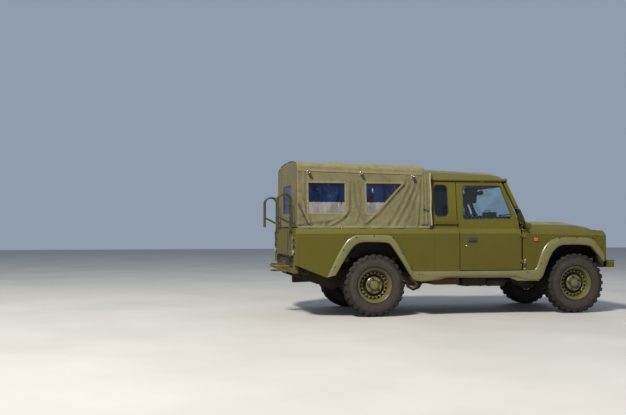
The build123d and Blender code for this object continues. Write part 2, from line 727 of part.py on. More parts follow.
inner_wing_y = rail_outer_y + 12
inner_wing_sheet = 8
inner_wing_z = (kick_top_z + 42, bevel_z - 20)
with BuildPart() as inner_wings:
    length = (wing_back_wall_x, wing_front_x - wing_nose)
    shelf_z = inner_wing_z[1] - inner_wing_sheet
    block(length, (-inner_wing_y - inner_wing_sheet, -inner_wing_y), inner_wing_z)
    block(length, (-bonnet_half_width - 20, -inner_wing_y), (shelf_z, inner_wing_z[1]))
    block(length, (-bonnet_half_width - 20, -wing_inner_y), (shelf_z, waist_z - wing_skin - seat_gap))
    block((wing_back_wall_x, wing_back_wall_x + wing_skin),
          (wing_skin + seat_gap - body_half_width, -inner_wing_y), (kick_low_z, inner_wing_z[1]))
    mirror_across()
keep(inner_wings, "inner_wings")

# Front panel with grille slots and headlamp openings.
panel_thickness = 16
panel_rear_x = panel_front_x - 28
panel_half_width = body_half_width - wing_skin - seat_gap
panel_low_z = kick_top_z + 24
panel_top_z = bevel_z + 28
grille_half_width = 330
grille_low_z = panel_low_z + 36
grille_top_z = panel_top_z - 46
slat_pitch = 36
slat_half = 8
lamp_y = body_half_width - 295
lamp_z = 905
lamp_radius = 92
with BuildPart() as front_panel:
    with BuildSketch(Plane.YZ.offset(panel_rear_x)) as face:
        with BuildLine():
            FilletPolyline((-panel_half_width, panel_low_z), (panel_half_width, panel_low_z),
                           (panel_half_width, panel_top_z - 56), (panel_half_width - 60, panel_top_z),
                           (60 - panel_half_width, panel_top_z), (-panel_half_width, panel_top_z - 56),
                           radius=12, close=True)
        make_face()
    extrude(amount=panel_thickness)
    block((panel_rear_x - 5, panel_front_x + 5), (-grille_half_width, grille_half_width),
          (grille_low_z, grille_top_z), mode=Mode.SUBTRACT)
    slat_count = int((grille_top_z - grille_low_z) // slat_pitch)
    for slat in range(slat_count):
        slat_z = grille_low_z + (slat + 0.5) * slat_pitch + slat_half
        block((panel_rear_x, panel_rear_x + panel_thickness + 2),
              (-grille_half_width, grille_half_width), (slat_z - slat_half, slat_z + slat_half))
    for centre_y in (-lamp_y, lamp_y):
        rod((panel_rear_x - 5, centre_y, lamp_z), (panel_front_x + 5, centre_y, lamp_z),
            lamp_radius + seat_gap, mode=Mode.SUBTRACT)
keep(front_panel, "front_panel")

with BuildPart() as headlamps:
    for centre_y in (-lamp_y, lamp_y):
        rod((panel_rear_x - 50, centre_y, lamp_z), (panel_front_x - 6, centre_y, lamp_z), lamp_radius)
        rod((panel_front_x - 6, centre_y, lamp_z), (panel_front_x + 6, centre_y, lamp_z), lamp_radius - 12)
keep(headlamps, "headlamps")

marker_x = panel_rear_x + panel_thickness + seat_gap
marker_y = body_half_width - 113
marker_radius = 34
repeater_x = (bulkhead_x + 87, bulkhead_x + 147)
repeater_z = (bevel_z - 98, bevel_z - 53)
with BuildPart() as marker_lamps:
    for marker_z in (lamp_z + 55, lamp_z - 55):
        rod((marker_x, -marker_y, marker_z), (marker_x + 30, -marker_y, marker_z), marker_radius)
    block(repeater_x, (-body_half_width - seat_gap - 16, -body_half_width - seat_gap), repeater_z)
    mirror_across()
keep(marker_lamps, "marker_lamps")

# Front bumper: a folded steel channel on the frame's ends, open at the back.
bumper_front_x = fore(front_overhang)
bumper_half_width = body_half_width - 35
bumper_low_z = kick_low_z + 13
bumper_top_z = kick_top_z + 2
bumper_corner = (40, 70)
with BuildPart() as front_bumper:
    with BuildSketch(Plane.XY.offset(bumper_low_z)) as outline:
        with BuildLine():
            Polyline((bumper_rear_x + seat_gap, -bumper_half_width),
                     (bumper_front_x - bumper_corner[0], -bumper_half_width),
                     (bumper_front_x, bumper_corner[1] - bumper_half_width),
                     (bumper_front_x, bumper_half_width - bumper_corner[1]),
                     (bumper_front_x - bumper_corner[0], bumper_half_width),
                     (bumper_rear_x + seat_gap, bumper_half_width), close=True)
        make_face()
    extrude(amount=bumper_top_z - bumper_low_z)
    for low_y, high_y in (both_sides(rail_outer_y + 10, bumper_half_width - 90)
                          + ((10 - rail_inner_y, rail_inner_y - 10),)):
        block((bumper_rear_x - 10, bumper_front_x - 8), (low_y, high_y),
              (bumper_low_z + 6, bumper_top_z - 6), mode=Mode.SUBTRACT)
keep(front_bumper, "front_bumper")

# Bonnet: a pressed panel hinged at the scuttle, with a raised middle that falls before the front.
bonnet_rear_x = bonnet_hinge_x + 6
bonnet_front_x = panel_front_x + 28
bonnet_skin = 12
bonnet_low_z = waist_z - 28
raised_half_width = 330
shoulder_half_width = bonnet_half_width - 90
# Section stations: X, then heights above the waist of the middle, the raised edge and shoulder.
bonnet_sections = [
    (bonnet_rear_x, 108, 104, 64),
    (fore(77), 103, 99, 48),
    (fore(156), 75, 73, 38),
    (fore(314), 47, 46, 20),
    (bonnet_front_x, 1, 0, -10),
]


def bonnet_form(drop):
    """Loft pairs for the bonnet's outer form, or with a drop for the one that hollows it."""
    low_z = bonnet_low_z - (1 if drop else 0)
    pairs = []
    for stations in zip(bonnet_sections, bonnet_sections[1:]):
        outlines = []
        for x, middle, edge, shoulder in stations:
            half = [(bonnet_half_width - drop, low_z), (bonnet_half_width - drop, low_z + 8),
                    (shoulder_half_width - drop, waist_z + shoulder - drop),
                    (raised_half_width, waist_z + edge - drop)]
            with BuildSketch(Plane.YZ.offset(x)) as outline:
                with BuildLine():
                    Polyline(*[(-y, z) for y, z in half], (0, waist_z + middle - drop),
                             *half[::-1], close=True)
                make_face()
            outlines.append(outline.sketch.face())
        pairs.append(outlines)
    return pairs


with BuildPart() as bonnet_hollow:
    for outlines in bonnet_form(bonnet_skin):
        loft(outlines, ruled=True)

with BuildPart() as bonnet:
    for outlines in bonnet_form(0):
        loft(outlines, ruled=True)
    add(bonnet_hollow.part, mode=Mode.SUBTRACT)
    block((bonnet_front_x - bonnet_skin, bonnet_front_x), (-bonnet_half_width, bonnet_half_width),
          (bonnet_low_z, bonnet_low_z + 28))
    for lug_y in bonnet_hinge_y:
        lug = (lug_y - bonnet_lug_half, lug_y + bonnet_lug_half)
        block((bonnet_hinge_x, bonnet_rear_x + 20), lug, (bonnet_hinge_z - 30, bonnet_hinge_z + 3))
        hinge_line(bonnet_hinge_x, lug, bonnet_hinge_z, bonnet_pin_radius + 4)
        hinge_line(bonnet_hinge_x, (lug[0] - 1, lug[1] + 1), bonnet_hinge_z,
                   bonnet_pin_radius + bearing_clearance, mode=Mode.SUBTRACT)
keep(bonnet, "bonnet")

# Cab walls: the quarter panels behind the doors, and the doors themselves.
cab_top_z = gutter_z - 10
door_inner_y = body_half_width - door_thickness


def cab_wall(bottom_z, rear_x, front_x):
    """Lower wall, waist bevel and leaning upper frame as one section along X."""
    section_bar([(body_half_width, bottom_z), (body_half_width, bevel_z),
                 (waist_half_width, waist_z), (belt_half_width, waist_z + 4),
                 (upper_y(cab_top_z), cab_top_z),
                 (upper_y(cab_top_z) - frame_thickness, cab_top_z),
                 (belt_half_width - frame_thickness, waist_z - 30),
                 (door_inner_y, bevel_z - 30), (door_inner_y, bottom_z)], rear_x, front_x)


door_low_z = sill_z + 26
quarter_window = [
    (cab_rear_x + 29, waist_z + 154), (quarter_front_x - 108, waist_z + 154),
    (quarter_front_x - 108, waist_z + 581), (cab_rear_x + 29, waist_z + 581),
]
door_window = [
    (door_rear_x + 77, waist_z + 120), (door_front_x - 73, waist_z + 130),
    (door_front_x - 234, waist_z + 577), (door_rear_x + 91, waist_z + 571),
]
quarter_corner = 60
door_corner = 36
glass_thickness = 5
glass_inset = 12
through_wall = (gutter_half_width - 138, body_half_width + 105)


def glass_pane(points, radius):
    """A pane that leans with the upper wall and fills a window's outline."""
    low_z, high_z = waist_z + 68, waist_z + 608
    outer = [(upper_y(z) - glass_inset, z) for z in (low_z, high_z)]
    inner = [(y - glass_thickness, z) for y, z in outer[::-1]]
    section_bar(outer + inner, cab_rear_x - 86, bulkhead_x + 30)
    side_plate(points, *through_wall, radius=radius, mode=Mode.INTERSECT)


with BuildPart() as cab_sides:
    cab_wall(sill_z, cab_rear_x, quarter_front_x)
    side_plate(quarter_window, *through_wall, radius=quarter_corner, mode=Mode.SUBTRACT)
    block((cab_rear_x + 4, quarter_front_x), (-belt_half_width - 16, 20 - belt_half_width),
          (waist_z + 58, waist_z + 103))
    mirror_across()
keep(cab_sides, "cab_sides")

door_outline = [
    (door_rear_x, door_low_z), (door_front_x, door_low_z), (door_front_x, scuttle_z),
    (door_front_x - 210, cab_top_z), (door_rear_x, cab_top_z),
]
mirror_y = body_half_width + 65
mirror_size = (60, 110, 320)
mirror_foot_z = waist_z + 33
for side in ("left", "right"):
    with BuildPart() as door:
        cab_wall(door_low_z, door_rear_x, door_front_x)
        side_plate(door_outline, *through_wall, mode=Mode.INTERSECT)
        side_plate(door_window, *through_wall, radius=door_corner, mode=Mode.SUBTRACT)
        for hinge_z in hinge_heights:
            block((door_front_x - 30, hinge_x), (-leaf_outer_y, -body_half_width),
                  (hinge_z, hinge_z + hinge_height))
            with Locations((hinge_x, -hinge_y, hinge_z + hinge_height / 2)):
                Cylinder(hinge_barrel_radius, hinge_height)
                Cylinder(hinge_pin_radius + bearing_clearance, hinge_height + 2, mode=Mode.SUBTRACT)
        put_on_side(side)
    keep(door, f"door_{side}")

    with BuildPart() as pane:
        glass_pane(door_window, door_corner)
        put_on_side(side)
    keep(pane, f"door_glass_{side}")

    with BuildPart() as door_mirror:
        with Locations(Location((door_front_x - 41, -mirror_y, waist_z + 164), (0, -20, 0))):
            Box(*mirror_size)
        foot_y = upper_y(mirror_foot_z - 25) + seat_gap
        block((door_front_x - 51, door_front_x - 11), (-foot_y - 12, -foot_y),
              (mirror_foot_z - 25, mirror_foot_z + 25))
        rod((door_front_x - 31, -foot_y - 6, mirror_foot_z), (door_front_x - 8, 20 - mirror_y, mirror_foot_z),
            10)
        fillet(door_mirror.edges().filter_by(Axis.Y), radius=12)
        put_on_side(side)
    keep(door_mirror, f"mirror_{side}")

# Windscreen frame: a leaning frame between the scuttle and the roof.
pillar_top_x = door_front_x - 140
pillar_foot_x = bulkhead_x + 12
pillar_width = 62
screen_frame = 46
screen_corner = 50
lean = Vector(pillar_top_x - pillar_foot_x, 0, gutter_z - scuttle_z)
screen_plane = Plane(origin=(pillar_foot_x, 0, scuttle_z), x_dir=(0, 1, 0),
                     z_dir=(lean.Z, 0, -lean.X))
screen_foot_y = upper_y(scuttle_z) - 2
screen_top_y = upper_y(gutter_z) - 2
screen_low = 62
screen_high = lean.length - 50
screen_opening = [
    (-screen_foot_y + pillar_width, screen_low), (screen_foot_y - pillar_width, screen_low),
    (screen_top_y - pillar_width, screen_high), (pillar_width - screen_top_y, screen_high),
]
with BuildPart() as windscreen_frame:
    with BuildSketch(screen_plane) as outline:
        with BuildLine():
            Polyline((-screen_foot_y, 0), (screen_foot_y, 0), (screen_top_y, lean.length),
                     (-screen_top_y, lean.length), close=True)
        make_face()
        with BuildLine():
            FilletPolyline(*screen_opening, radius=screen_corner, close=True)
        make_face(mode=Mode.SUBTRACT)
    extrude(amount=-screen_frame)
    for trim_z in ((scuttle_z - 100, scuttle_z + seat_gap), (gutter_z, gutter_z + 100)):
        block((pillar_top_x - 300, pillar_foot_x + 200), (-body_half_width, body_half_width), trim_z,
              mode=Mode.SUBTRACT)
keep(windscreen_frame, "windscreen_frame")

# Fixed glass: windscreen, quarter windows and the window in the cab's back.
back_window = ((-340, 340), (waist_z + 158, waist_z + 508))
with BuildPart() as quarter_panes:
    glass_pane(quarter_window, quarter_corner)
    mirror_across()

with BuildPart() as cab_glass:
    with BuildSketch(screen_plane.offset(-screen_frame / 2)) as pane:
        with BuildLine():
            FilletPolyline(*screen_opening, radius=screen_corner, close=True)
        make_face()
    extrude(amount=-glass_thickness)
    add(quarter_panes.part)
    block((cab_rear_x + 6, cab_rear_x + 6 + glass_thickness), *back_window)
keep(cab_glass, "cab_glass")

# Cab back: a flat panel between the quarter panels.
back_half = [
    (door_inner_y - seat_gap, floor_z - floor_plate), (door_inner_y - seat_gap, bevel_z - 30),
    (belt_half_width - frame_thickness - seat_gap, waist_z - 30),
    (upper_y(cab_top_z) - frame_thickness - seat_gap, cab_top_z),
]
with BuildPart() as cab_back:
    with BuildSketch(Plane.YZ.offset(cab_rear_x)) as face:
        with BuildLine():
            Polyline(*back_half, *[(-y, z) for y, z in back_half[::-1]], close=True)
        make_face()
    extrude(amount=20)
    block((cab_rear_x - 5, cab_rear_x + 30), *back_window, mode=Mode.SUBTRACT)
keep(cab_back, "cab_back")

# Cab roof: a shell with a drip rail.
roof_skin = 22
roof_rear_x = cab_rear_x + 4
roof_front_x = door_front_x - 128
roof_shoulder = gutter_half_width - 98
roof_foot = gutter_half_width + 18
# Roof stations: X, then heights above the gutter of the middle and the shoulder.
roof_sections = [
    (roof_rear_x, 170, 114), (door_front_x - 286, 130, 84), (door_front_x - 196, 110, 66),
    (roof_front_x, 68, 34),
]


def roof_form(drop):
    """Loft pairs for the roof's outer form, or with a drop for the one that hollows it."""
    low_z = gutter_z - (1 if drop else 0)
    pairs = []
    for stations in zip(roof_sections, roof_sections[1:]):
        outlines = []
        for x, middle, shoulder in stations:
            half = [(roof_foot - drop, low_z), (roof_foot - 10 - drop, gutter_z + 14),
                    (roof_shoulder - drop, gutter_z + shoulder - drop),
                    (roof_shoulder - 150, gutter_z + (middle + shoulder) / 2 + 16 - drop)]
            with BuildSketch(Plane.YZ.offset(x)) as outline:
                with BuildLine():
                    Polyline(*[(-y, z) for y, z in half], (0, gutter_z + middle - drop),
                             *half[::-1], close=True)
                make_face()
            outlines.append(outline.sketch.face())
        pairs.append(outlines)
    return pairs


with BuildPart() as roof_hollow:
    for outlines in roof_form(roof_skin):
        loft(outlines, ruled=True)

with BuildPart() as roof:
    for outlines in roof_form(0):
        loft(outlines, ruled=True)
    add(roof_hollow.part, mode=Mode.SUBTRACT)
    end_y = (20 - roof_foot, roof_foot - 20)
    block((roof_rear_x, roof_rear_x + 16), end_y, (gutter_z, gutter_z + 84))
    block((roof_front_x - 22, roof_front_x), end_y, (gutter_z, gutter_z + 40))
    for across in both_sides(upper_y(cab_top_z) - frame_thickness, roof_foot - 4):
        block((roof_rear_x, door_front_x - 196), across, (cab_top_z + 5, gutter_z + 8))
keep(roof, "roof")

# Bed: floor, wheel boxes and headboard.
side_thickness = 40
bed_inner_y = body_half_width - side_thickness - seat_gap
bed_front_x = cab_rear_x - 4
bed_post = 30
board_thickness = 20
cap_inner_y = body_half_width - 115
cap_z = waist_z + 8
wheel_box_y = wheel_y - tyre_half - 43
wheel_box_x = (ahead(-500), ahead(520))
wheel_box_top = bed_floor_z + 192
wheel_box_sheet = 12
bearers = [ahead(-940), ahead(-330), ahead(300), bed_front_x - 82]
with BuildPart() as bed_floor:
    block((bed_rear_x + bed_post + seat_gap, bed_front_x - board_thickness - seat_gap),
          (-bed_inner_y, bed_inner_y), (bed_floor_z - floor_sheet, bed_floor_z))
    for across in both_sides(wheel_box_y - seat_gap, bed_inner_y + 10):
        block((wheel_box_x[0] - seat_gap, wheel_box_x[1] + seat_gap), across,
              (bed_floor_z - floor_sheet - 5, bed_floor_z + 5), mode=Mode.SUBTRACT)
    for bearer_x in bearers:
        block((bearer_x, bearer_x + 40), (260 - bed_inner_y, bed_inner_y - 260),
              (kick_top_z, bed_floor_z - floor_sheet))
keep(bed_floor, "bed_floor")

with BuildPart() as wheel_boxes:
    low_z = bed_floor_z - floor_sheet
    block(wheel_box_x, (-bed_inner_y, -wheel_box_y), (low_z, wheel_box_top))
    block((wheel_box_x[0] + wheel_box_sheet, wheel_box_x[1] - wheel_box_sheet),
          (-bed_inner_y - 20, -wheel_box_y - wheel_box_sheet), (low_z - 5, wheel_box_top - wheel_box_sheet),
          mode=Mode.SUBTRACT)
    mirror_across()
keep(wheel_boxes, "wheel_boxes")

with BuildPart() as headboard:
    board_x = (bed_front_x - board_thickness, bed_front_x)
    block(board_x, (-bed_inner_y, bed_inner_y), (bed_floor_z - floor_sheet, bevel_z - 22))
    block(board_x, (4 - cap_inner_y, cap_inner_y - 4), (bevel_z - 22, cap_z))
keep(headboard, "headboard")

# Bed sides: double-walled panels with a capping, cut away behind the wheel.
post_low_z = kick_top_z - 29
bed_side_outline = [
    (bed_rear_x, waist_z + 10), (bed_rear_x, post_low_z), (ahead(-638), sill_z - 54),
    (ahead(-600), sill_z), (cab_rear_x - seat_gap, sill_z), (cab_rear_x - seat_gap, waist_z + 10),
]
side_inner_y = body_half_width - side_thickness
with BuildPart() as bed_sides:
    section_bar([(body_half_width, sill_z - 124), (body_half_width, bevel_z), (waist_half_width, waist_z),
                 (waist_half_width, cap_z), (cap_inner_y, cap_z),
                 (cap_inner_y, waist_z - 24), (cap_inner_y + 14, waist_z - 24),
                 (cap_inner_y + 14, waist_z - 6), (waist_half_width - 20, waist_z - 6),
                 (side_inner_y, bevel_z - 20), (side_inner_y, sill_z - 124)], bed_rear_x, cab_rear_x)
    side_plate(bed_side_outline, *through_wall, mode=Mode.INTERSECT)
    wheel_outline(rear_axle_x, rear_arch, *through_wall, mode=Mode.SUBTRACT)
    block((bed_rear_x, bed_rear_x + bed_post), (-side_inner_y, -tailgate_half_width - 6),
          (post_low_z, waist_z - 24))
    mirror_across()
keep(bed_sides, "bed_sides")

# Wheel arch flares: pressed eyebrows screwed to the body over each wheel.
flare_half_width = body_half_width + 23
flare_tip = 10
with BuildPart() as flares:
    for axle_x, outer_edge, arch in ((rear_axle_x, rear_flare, rear_arch),
                                     (front_axle_x, front_flare, front_arch)):
        inner_edge = arch[-2:0:-1]
        for tip in (0, -1):
            inner_edge[tip] = inner_edge[tip][:2] + (flare_tip,)
        wheel_outline(axle_x, outer_edge + inner_edge, body_half_width + seat_gap, flare_half_width)
    mirror_across()
keep(flares, "flares")

# Tail lamps on the bed's rear corners.
tail_lamp_y = tailgate_half_width + 66
tail_lamp_pitch = 90
tail_lamp_radius = 36
with BuildPart() as tail_lamps:
    for row in range(3):
        lamp_height = bed_floor_z + 54 + row * tail_lamp_pitch
        rod((bed_rear_x - seat_gap, -tail_lamp_y, lamp_height), (bed_rear_x - 28, -tail_lamp_y, lamp_height),
            tail_lamp_radius)
    mirror_across()
keep(tail_lamps, "tail_lamps")

# Tailgate with its hinge lugs, and the step hoops that it carries.
tailgate_top_z = waist_z + 6
rib_pitch = 225
rib_half = 25
with BuildPart() as tailgate:
    block((tailgate_rear_x, tailgate_front_x), (-tailgate_half_width, tailgate_half_width),
          (tailgate_low_z, tailgate_top_z))
    for rib in range(-2, 3):
        rib_y = rib * rib_pitch
        block((tailgate_rear_x - 8, tailgate_rear_x), (rib_y - rib_half, rib_y + rib_half),
              (tailgate_low_z + 40, tailgate_top_z - 40))
    for lug_y in tailgate_hinge_y:
        lug = (lug_y - tailgate_lug_half, lug_y + tailgate_lug_half)
        block((tailgate_hinge_x, tailgate_rear_x), lug, (tailgate_hinge_z, tailgate_low_z + 60))
        hinge_line(tailgate_hinge_x, lug, tailgate_hinge_z, tailgate_pin_radius + 4)
        hinge_line(tailgate_hinge_x, (lug[0] - 1, lug[1] + 1), tailgate_hinge_z,
                   tailgate_pin_radius + bearing_clearance, mode=Mode.SUBTRACT)
keep(tailgate, "tailgate")

hoop_radius = 11
rung_radius = 8
hoop_bend = 80
hoop_half_spacing = 60
hoop_rear_x = ahead(hoop_radius - rear_overhang)
hoop_front_x = tailgate_rear_x - hoop_radius
hoop_y = tailgate_half_width - 94
hoop_foot_z = bevel_z + 2
hoop_top_z = waist_z + 453
hoop_outline = [
    (hoop_front_x, hoop_foot_z), (hoop_front_x, hoop_top_z), (hoop_rear_x, hoop_top_z - 20),
    (hoop_rear_x, waist_z + 24),
]
# Rungs between the two tubes of a pair: X, height.
hoop_rungs = [(hoop_rear_x, waist_z + 162), (hoop_rear_x, waist_z + 38), (hoop_front_x, waist_z + 162)]
brace_low = Vector(hoop_front_x, 0, waist_z + 68)
brace_high = Vector(hoop_rear_x, 0, waist_z + 162)
brace_way = (brace_high - brace_low).normalized()
brace_trim = brace_way * (hoop_radius + seat_gap + rung_radius * brace_way.Z) / -brace_way.X
with BuildPart() as step_hoops:
    for tube_y in (hoop_y - hoop_half_spacing, hoop_y + hoop_half_spacing):
        with BuildLine(Plane.XZ.offset(tube_y)) as path:
            FilletPolyline(*hoop_outline, radius=hoop_bend)
        with BuildSketch(Plane(origin=path.line @ 0, z_dir=path.line % 0)) as section:
            Circle(hoop_radius)
        sweep(section.sketch, path=path.line)
        across = Vector(0, -tube_y, 0)
        rod(brace_low + brace_trim + across, brace_high - brace_trim + across, rung_radius)
    rung_half = hoop_half_spacing - hoop_radius - seat_gap
    for rung_x, rung_z in hoop_rungs:
        hinge_line(rung_x, (-hoop_y - rung_half, rung_half - hoop_y), rung_z, rung_radius)
    mirror_across()
keep(step_hoops, "step_hoops")

# Tow hitch: a forked jaw with a pin bore, bolted to the rear cross member.
jaw_half_width = 46
jaw_bore_radius = 16.5
jaw_pin_x = crossmember_rear_x - 152
jaw_plate = 24
jaw_gap = 62
jaw_low_z = crossmember_low_z - 68
hitch_plate = 16
with BuildPart() as tow_hitch:
    block((crossmember_rear_x - hitch_plate, crossmember_rear_x), (-90, 90),
          (crossmember_low_z - 88, crossmember_low_z + 72))
    for plate_z in (jaw_low_z, jaw_low_z + jaw_plate + jaw_gap):
        block((jaw_pin_x, crossmember_rear_x - hitch_plate), (-jaw_half_width, jaw_half_width),
              (plate_z, plate_z + jaw_plate))
        with Locations((jaw_pin_x, 0, plate_z + jaw_plate / 2)):
            Cylinder(jaw_half_width - 6, jaw_plate)
    with Locations((jaw_pin_x, 0, jaw_low_z + 50)):
        Cylinder(jaw_bore_radius, 300, mode=Mode.SUBTRACT)
keep(tow_hitch, "tow_hitch")

# Canvas cover: a roof that bends down to a nose, two side curtains, and a sheet at each end.
# Stations: X, then heights above the waist of the roof's crown and of the seam at its edge.
cover_stations = [
    (ahead(-1012), 888, 780), (cab_rear_x - 131, 860, 744), (cab_rear_x - 26, 780, 674),
]
cover_foot_y = waist_half_width - 6
cover_foot_z = cap_z + seat_gap
cover_seam_y = cover_foot_y - 56
cover_shoulder = (60, 66)
cover_crown_y = 450
cover_rise = 12
cover_skin = 8
cover_rear_x = cover_stations[0][0]
cover_nose_x = cover_stations[-1][0]
window_low_z = waist_z + 203
window_top_z = waist_z + 574
rear_window = [(ahead(-868), window_low_z), (ahead(-396), window_low_z), (ahead(-396), window_top_z + 8),
               (ahead(-868), window_top_z + 8)]
front_window = [(ahead(-109), window_low_z), (ahead(-3), window_low_z),
                (cab_rear_x - 413, window_top_z), (ahead(-109), window_top_z)]
end_window = ((-330, 330), (waist_z + 198, waist_z + 568))
nose_window = ((-360, 360), (waist_z + 138, waist_z + 528))


def cover_profile(crown, seam, inset):
    """Half of the cover's section from the foot to the crown, moved in by an inset."""
    seam_z, crown_z = waist_z + seam, waist_z + crown
    return [
        (cover_foot_y - inset, cover_foot_z), (cover_seam_y - inset, seam_z),
        (cover_seam_y - cover_shoulder[0] - inset * 0.7, seam_z + cover_shoulder[1] - inset * 0.7),
        (cover_crown_y, crown_z - inset), (0, crown_z + cover_rise - inset),
    ]


def roof_corners(crown, seam):
    outer = cover_profile(crown, seam, 0)[1:]
    inner = cover_profile(crown, seam, cover_skin)[1:]
    over = [(-y, z) for y, z in outer] + outer[-2::-1]
    return over + inner + [(-y, z) for y, z in inner[-2::-1]]


def side_corners(crown, seam):
    foot, top = cover_profile(crown, seam, 0)[:2]
    top_z = top[1] - seat_gap
    return [(-foot[0], foot[1]), (-top[0], top_z), (cover_skin - top[0], top_z),
            (cover_skin - foot[0], foot[1])]


def cover_panel(stations, corners):
    """Cloth with a wall's thickness, running along X from one station to the next."""
    outlines = []
    for x, crown, seam in stations:
        with BuildSketch(Plane.YZ.offset(x)) as outline:
            with BuildLine():
                Polyline(*corners(crown, seam), close=True)
            make_face()
        outlines.append(outline.sketch.face())
    loft(outlines, ruled=True)


def end_sheet(station, away, window):
    """An end sheet inside the roof and curtains, with its window cut out."""
    x, crown, seam = station
    half = cover_profile(crown, seam, cover_skin + 2 * seat_gap)
    with BuildSketch(Plane.YZ.offset(x)) as outline:
        with BuildLine():
            Polyline(*half, *[(-y, z) for y, z in half[-2::-1]], close=True)
        make_face()
    extrude(outline.sketch, amount=away * cover_skin)
    block((x - 2 * cover_skin, x + 2 * cover_skin), *window, mode=Mode.SUBTRACT)


with BuildPart() as curtain:
    cover_panel(cover_stations, side_corners)
    for outline in (rear_window, front_window):
        side_plate(outline, *through_wall, mode=Mode.SUBTRACT)
    mirror_across()

nose_start = (cover_stations[1][0] + seat_gap,) + cover_stations[1][1:]
with BuildPart() as canopy:
    cover_panel(cover_stations[:2], roof_corners)
    cover_panel([nose_start, cover_stations[2]], roof_corners)
    end_sheet(cover_stations[0], 1, end_window)
    end_sheet(cover_stations[2], -1, nose_window)
    add(curtain.part)
keep(canopy, "canopy")


def cover_y(z):
    """Half width of the cover's side at a height, taken at its middle."""
    seam_z = waist_z + (cover_stations[0][2] + cover_stations[1][2]) / 2
    return cover_foot_y - (z - cover_foot_z) * (cover_foot_y - cover_seam_y) / (seam_z - cover_foot_z)


vinyl_inset = 3
vinyl_low_z = window_low_z - 36
vinyl_top_z = window_top_z + 36
vinyl_panes = []
for window_outline in (rear_window, front_window):
    with BuildPart() as vinyl:
        faces = [(cover_y(z) - vinyl_inset, z) for z in (vinyl_low_z, vinyl_top_z)]
        section_bar(faces + [(y - vinyl_inset, z) for y, z in faces[::-1]], cover_rear_x, cover_nose_x)
        side_plate(window_outline, *through_wall, mode=Mode.INTERSECT)
        mirror_across()
    vinyl_panes.append(vinyl.part)

with BuildPart() as canopy_windows:
    for panes in vinyl_panes:
        add(panes)
    block((cover_rear_x + vinyl_inset, cover_rear_x + 2 * vinyl_inset), *end_window)
keep(canopy_windows, "canopy_windows")

bow_radius = 12
bow_bend = 70
bow_stations = [ahead(-985), ahead(-440), ahead(110), cab_rear_x - 146]
with BuildPart() as canopy_hoops:
    first, last = cover_stations[:2]
    for bow_x in bow_stations:
        share = (bow_x - first[0]) / (last[0] - first[0])
        crown_z = waist_z + first[1] + share * (last[1] - first[1])
        seam_z = waist_z + first[2] + share * (last[2] - first[2])
        inset = cover_skin + bow_radius + 4
        half = [(cover_foot_y - inset, cover_foot_z), (cover_foot_y - inset, cover_foot_z + 40),
                (cover_seam_y - inset, seam_z - 20), (cover_crown_y, crown_z - inset)]
        with BuildLine(Plane.YZ.offset(bow_x)) as path:
            FilletPolyline(*[(-y, z) for y, z in half], *half[::-1], radius=bow_bend)
        with BuildSketch(Plane(origin=path.line @ 0, z_dir=path.line % 0)) as section:
            Circle(bow_radius)
        sweep(section.sketch, path=path.line)
keep(canopy_hoops, "canopy_hoops")
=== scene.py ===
import json
import math

import bmesh
import bpy
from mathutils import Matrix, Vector, noise

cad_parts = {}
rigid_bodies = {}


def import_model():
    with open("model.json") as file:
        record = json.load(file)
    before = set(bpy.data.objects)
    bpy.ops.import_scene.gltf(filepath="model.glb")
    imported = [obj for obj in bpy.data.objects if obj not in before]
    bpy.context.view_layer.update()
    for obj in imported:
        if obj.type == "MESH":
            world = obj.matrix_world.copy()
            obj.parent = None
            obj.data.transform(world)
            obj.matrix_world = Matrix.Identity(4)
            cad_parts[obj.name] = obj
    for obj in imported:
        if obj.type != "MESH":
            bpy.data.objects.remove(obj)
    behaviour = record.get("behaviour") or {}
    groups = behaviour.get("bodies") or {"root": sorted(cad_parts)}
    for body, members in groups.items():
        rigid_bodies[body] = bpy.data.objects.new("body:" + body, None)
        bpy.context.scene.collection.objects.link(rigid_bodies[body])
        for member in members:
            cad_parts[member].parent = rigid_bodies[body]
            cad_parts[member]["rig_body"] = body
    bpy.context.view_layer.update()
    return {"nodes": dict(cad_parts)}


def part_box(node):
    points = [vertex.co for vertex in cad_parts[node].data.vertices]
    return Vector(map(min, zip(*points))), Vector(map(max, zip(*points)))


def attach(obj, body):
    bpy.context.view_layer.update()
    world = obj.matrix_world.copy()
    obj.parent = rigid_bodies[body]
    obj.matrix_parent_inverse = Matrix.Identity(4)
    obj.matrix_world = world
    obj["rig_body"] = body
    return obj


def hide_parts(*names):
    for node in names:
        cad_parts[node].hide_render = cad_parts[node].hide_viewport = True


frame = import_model()
nodes = frame["nodes"]

# Studio: a pale matt floor, a soft pale sky and large soft lamps, as for a plain product
# photograph. The camera stands at the photograph's place: 11 m off the right side, a little
# behind the middle.
camera_data = bpy.data.cameras.new("photo_camera")
camera_data.lens = 47.757
camera_data.sensor_width = 36.0
camera_data.clip_end = 200.0
camera = bpy.data.objects.new("photo_camera", camera_data)
camera.location = (-3.8989, -11.1472, 1.1003)
camera.rotation_euler = (math.pi / 2 + 0.0285, 0.0, -0.1932)
bpy.context.scene.collection.objects.link(camera)
bpy.context.scene.camera = camera


def fill(tree, node, sockets):
    """Sets a node's sockets to values, or joins them to other nodes."""
    for key, value in sockets.items():
        if isinstance(value, bpy.types.NodeSocket):
            tree.links.new(value, node.inputs[key])
        else:
            node.inputs[key].default_value = value


def put(tree, kind, sockets=None, **settings):
    """A shader node with its settings and its sockets."""
    node = tree.nodes.new("ShaderNode" + kind)
    for key, value in settings.items():
        setattr(node, key, value)
    fill(tree, node, sockets or {})
    return node


def mixed(tree, share, first, second):
    """One colour laid over another by a share."""
    return put(tree, "Mix", {0: share, 6: first, 7: second}, data_type="RGBA").outputs[2]


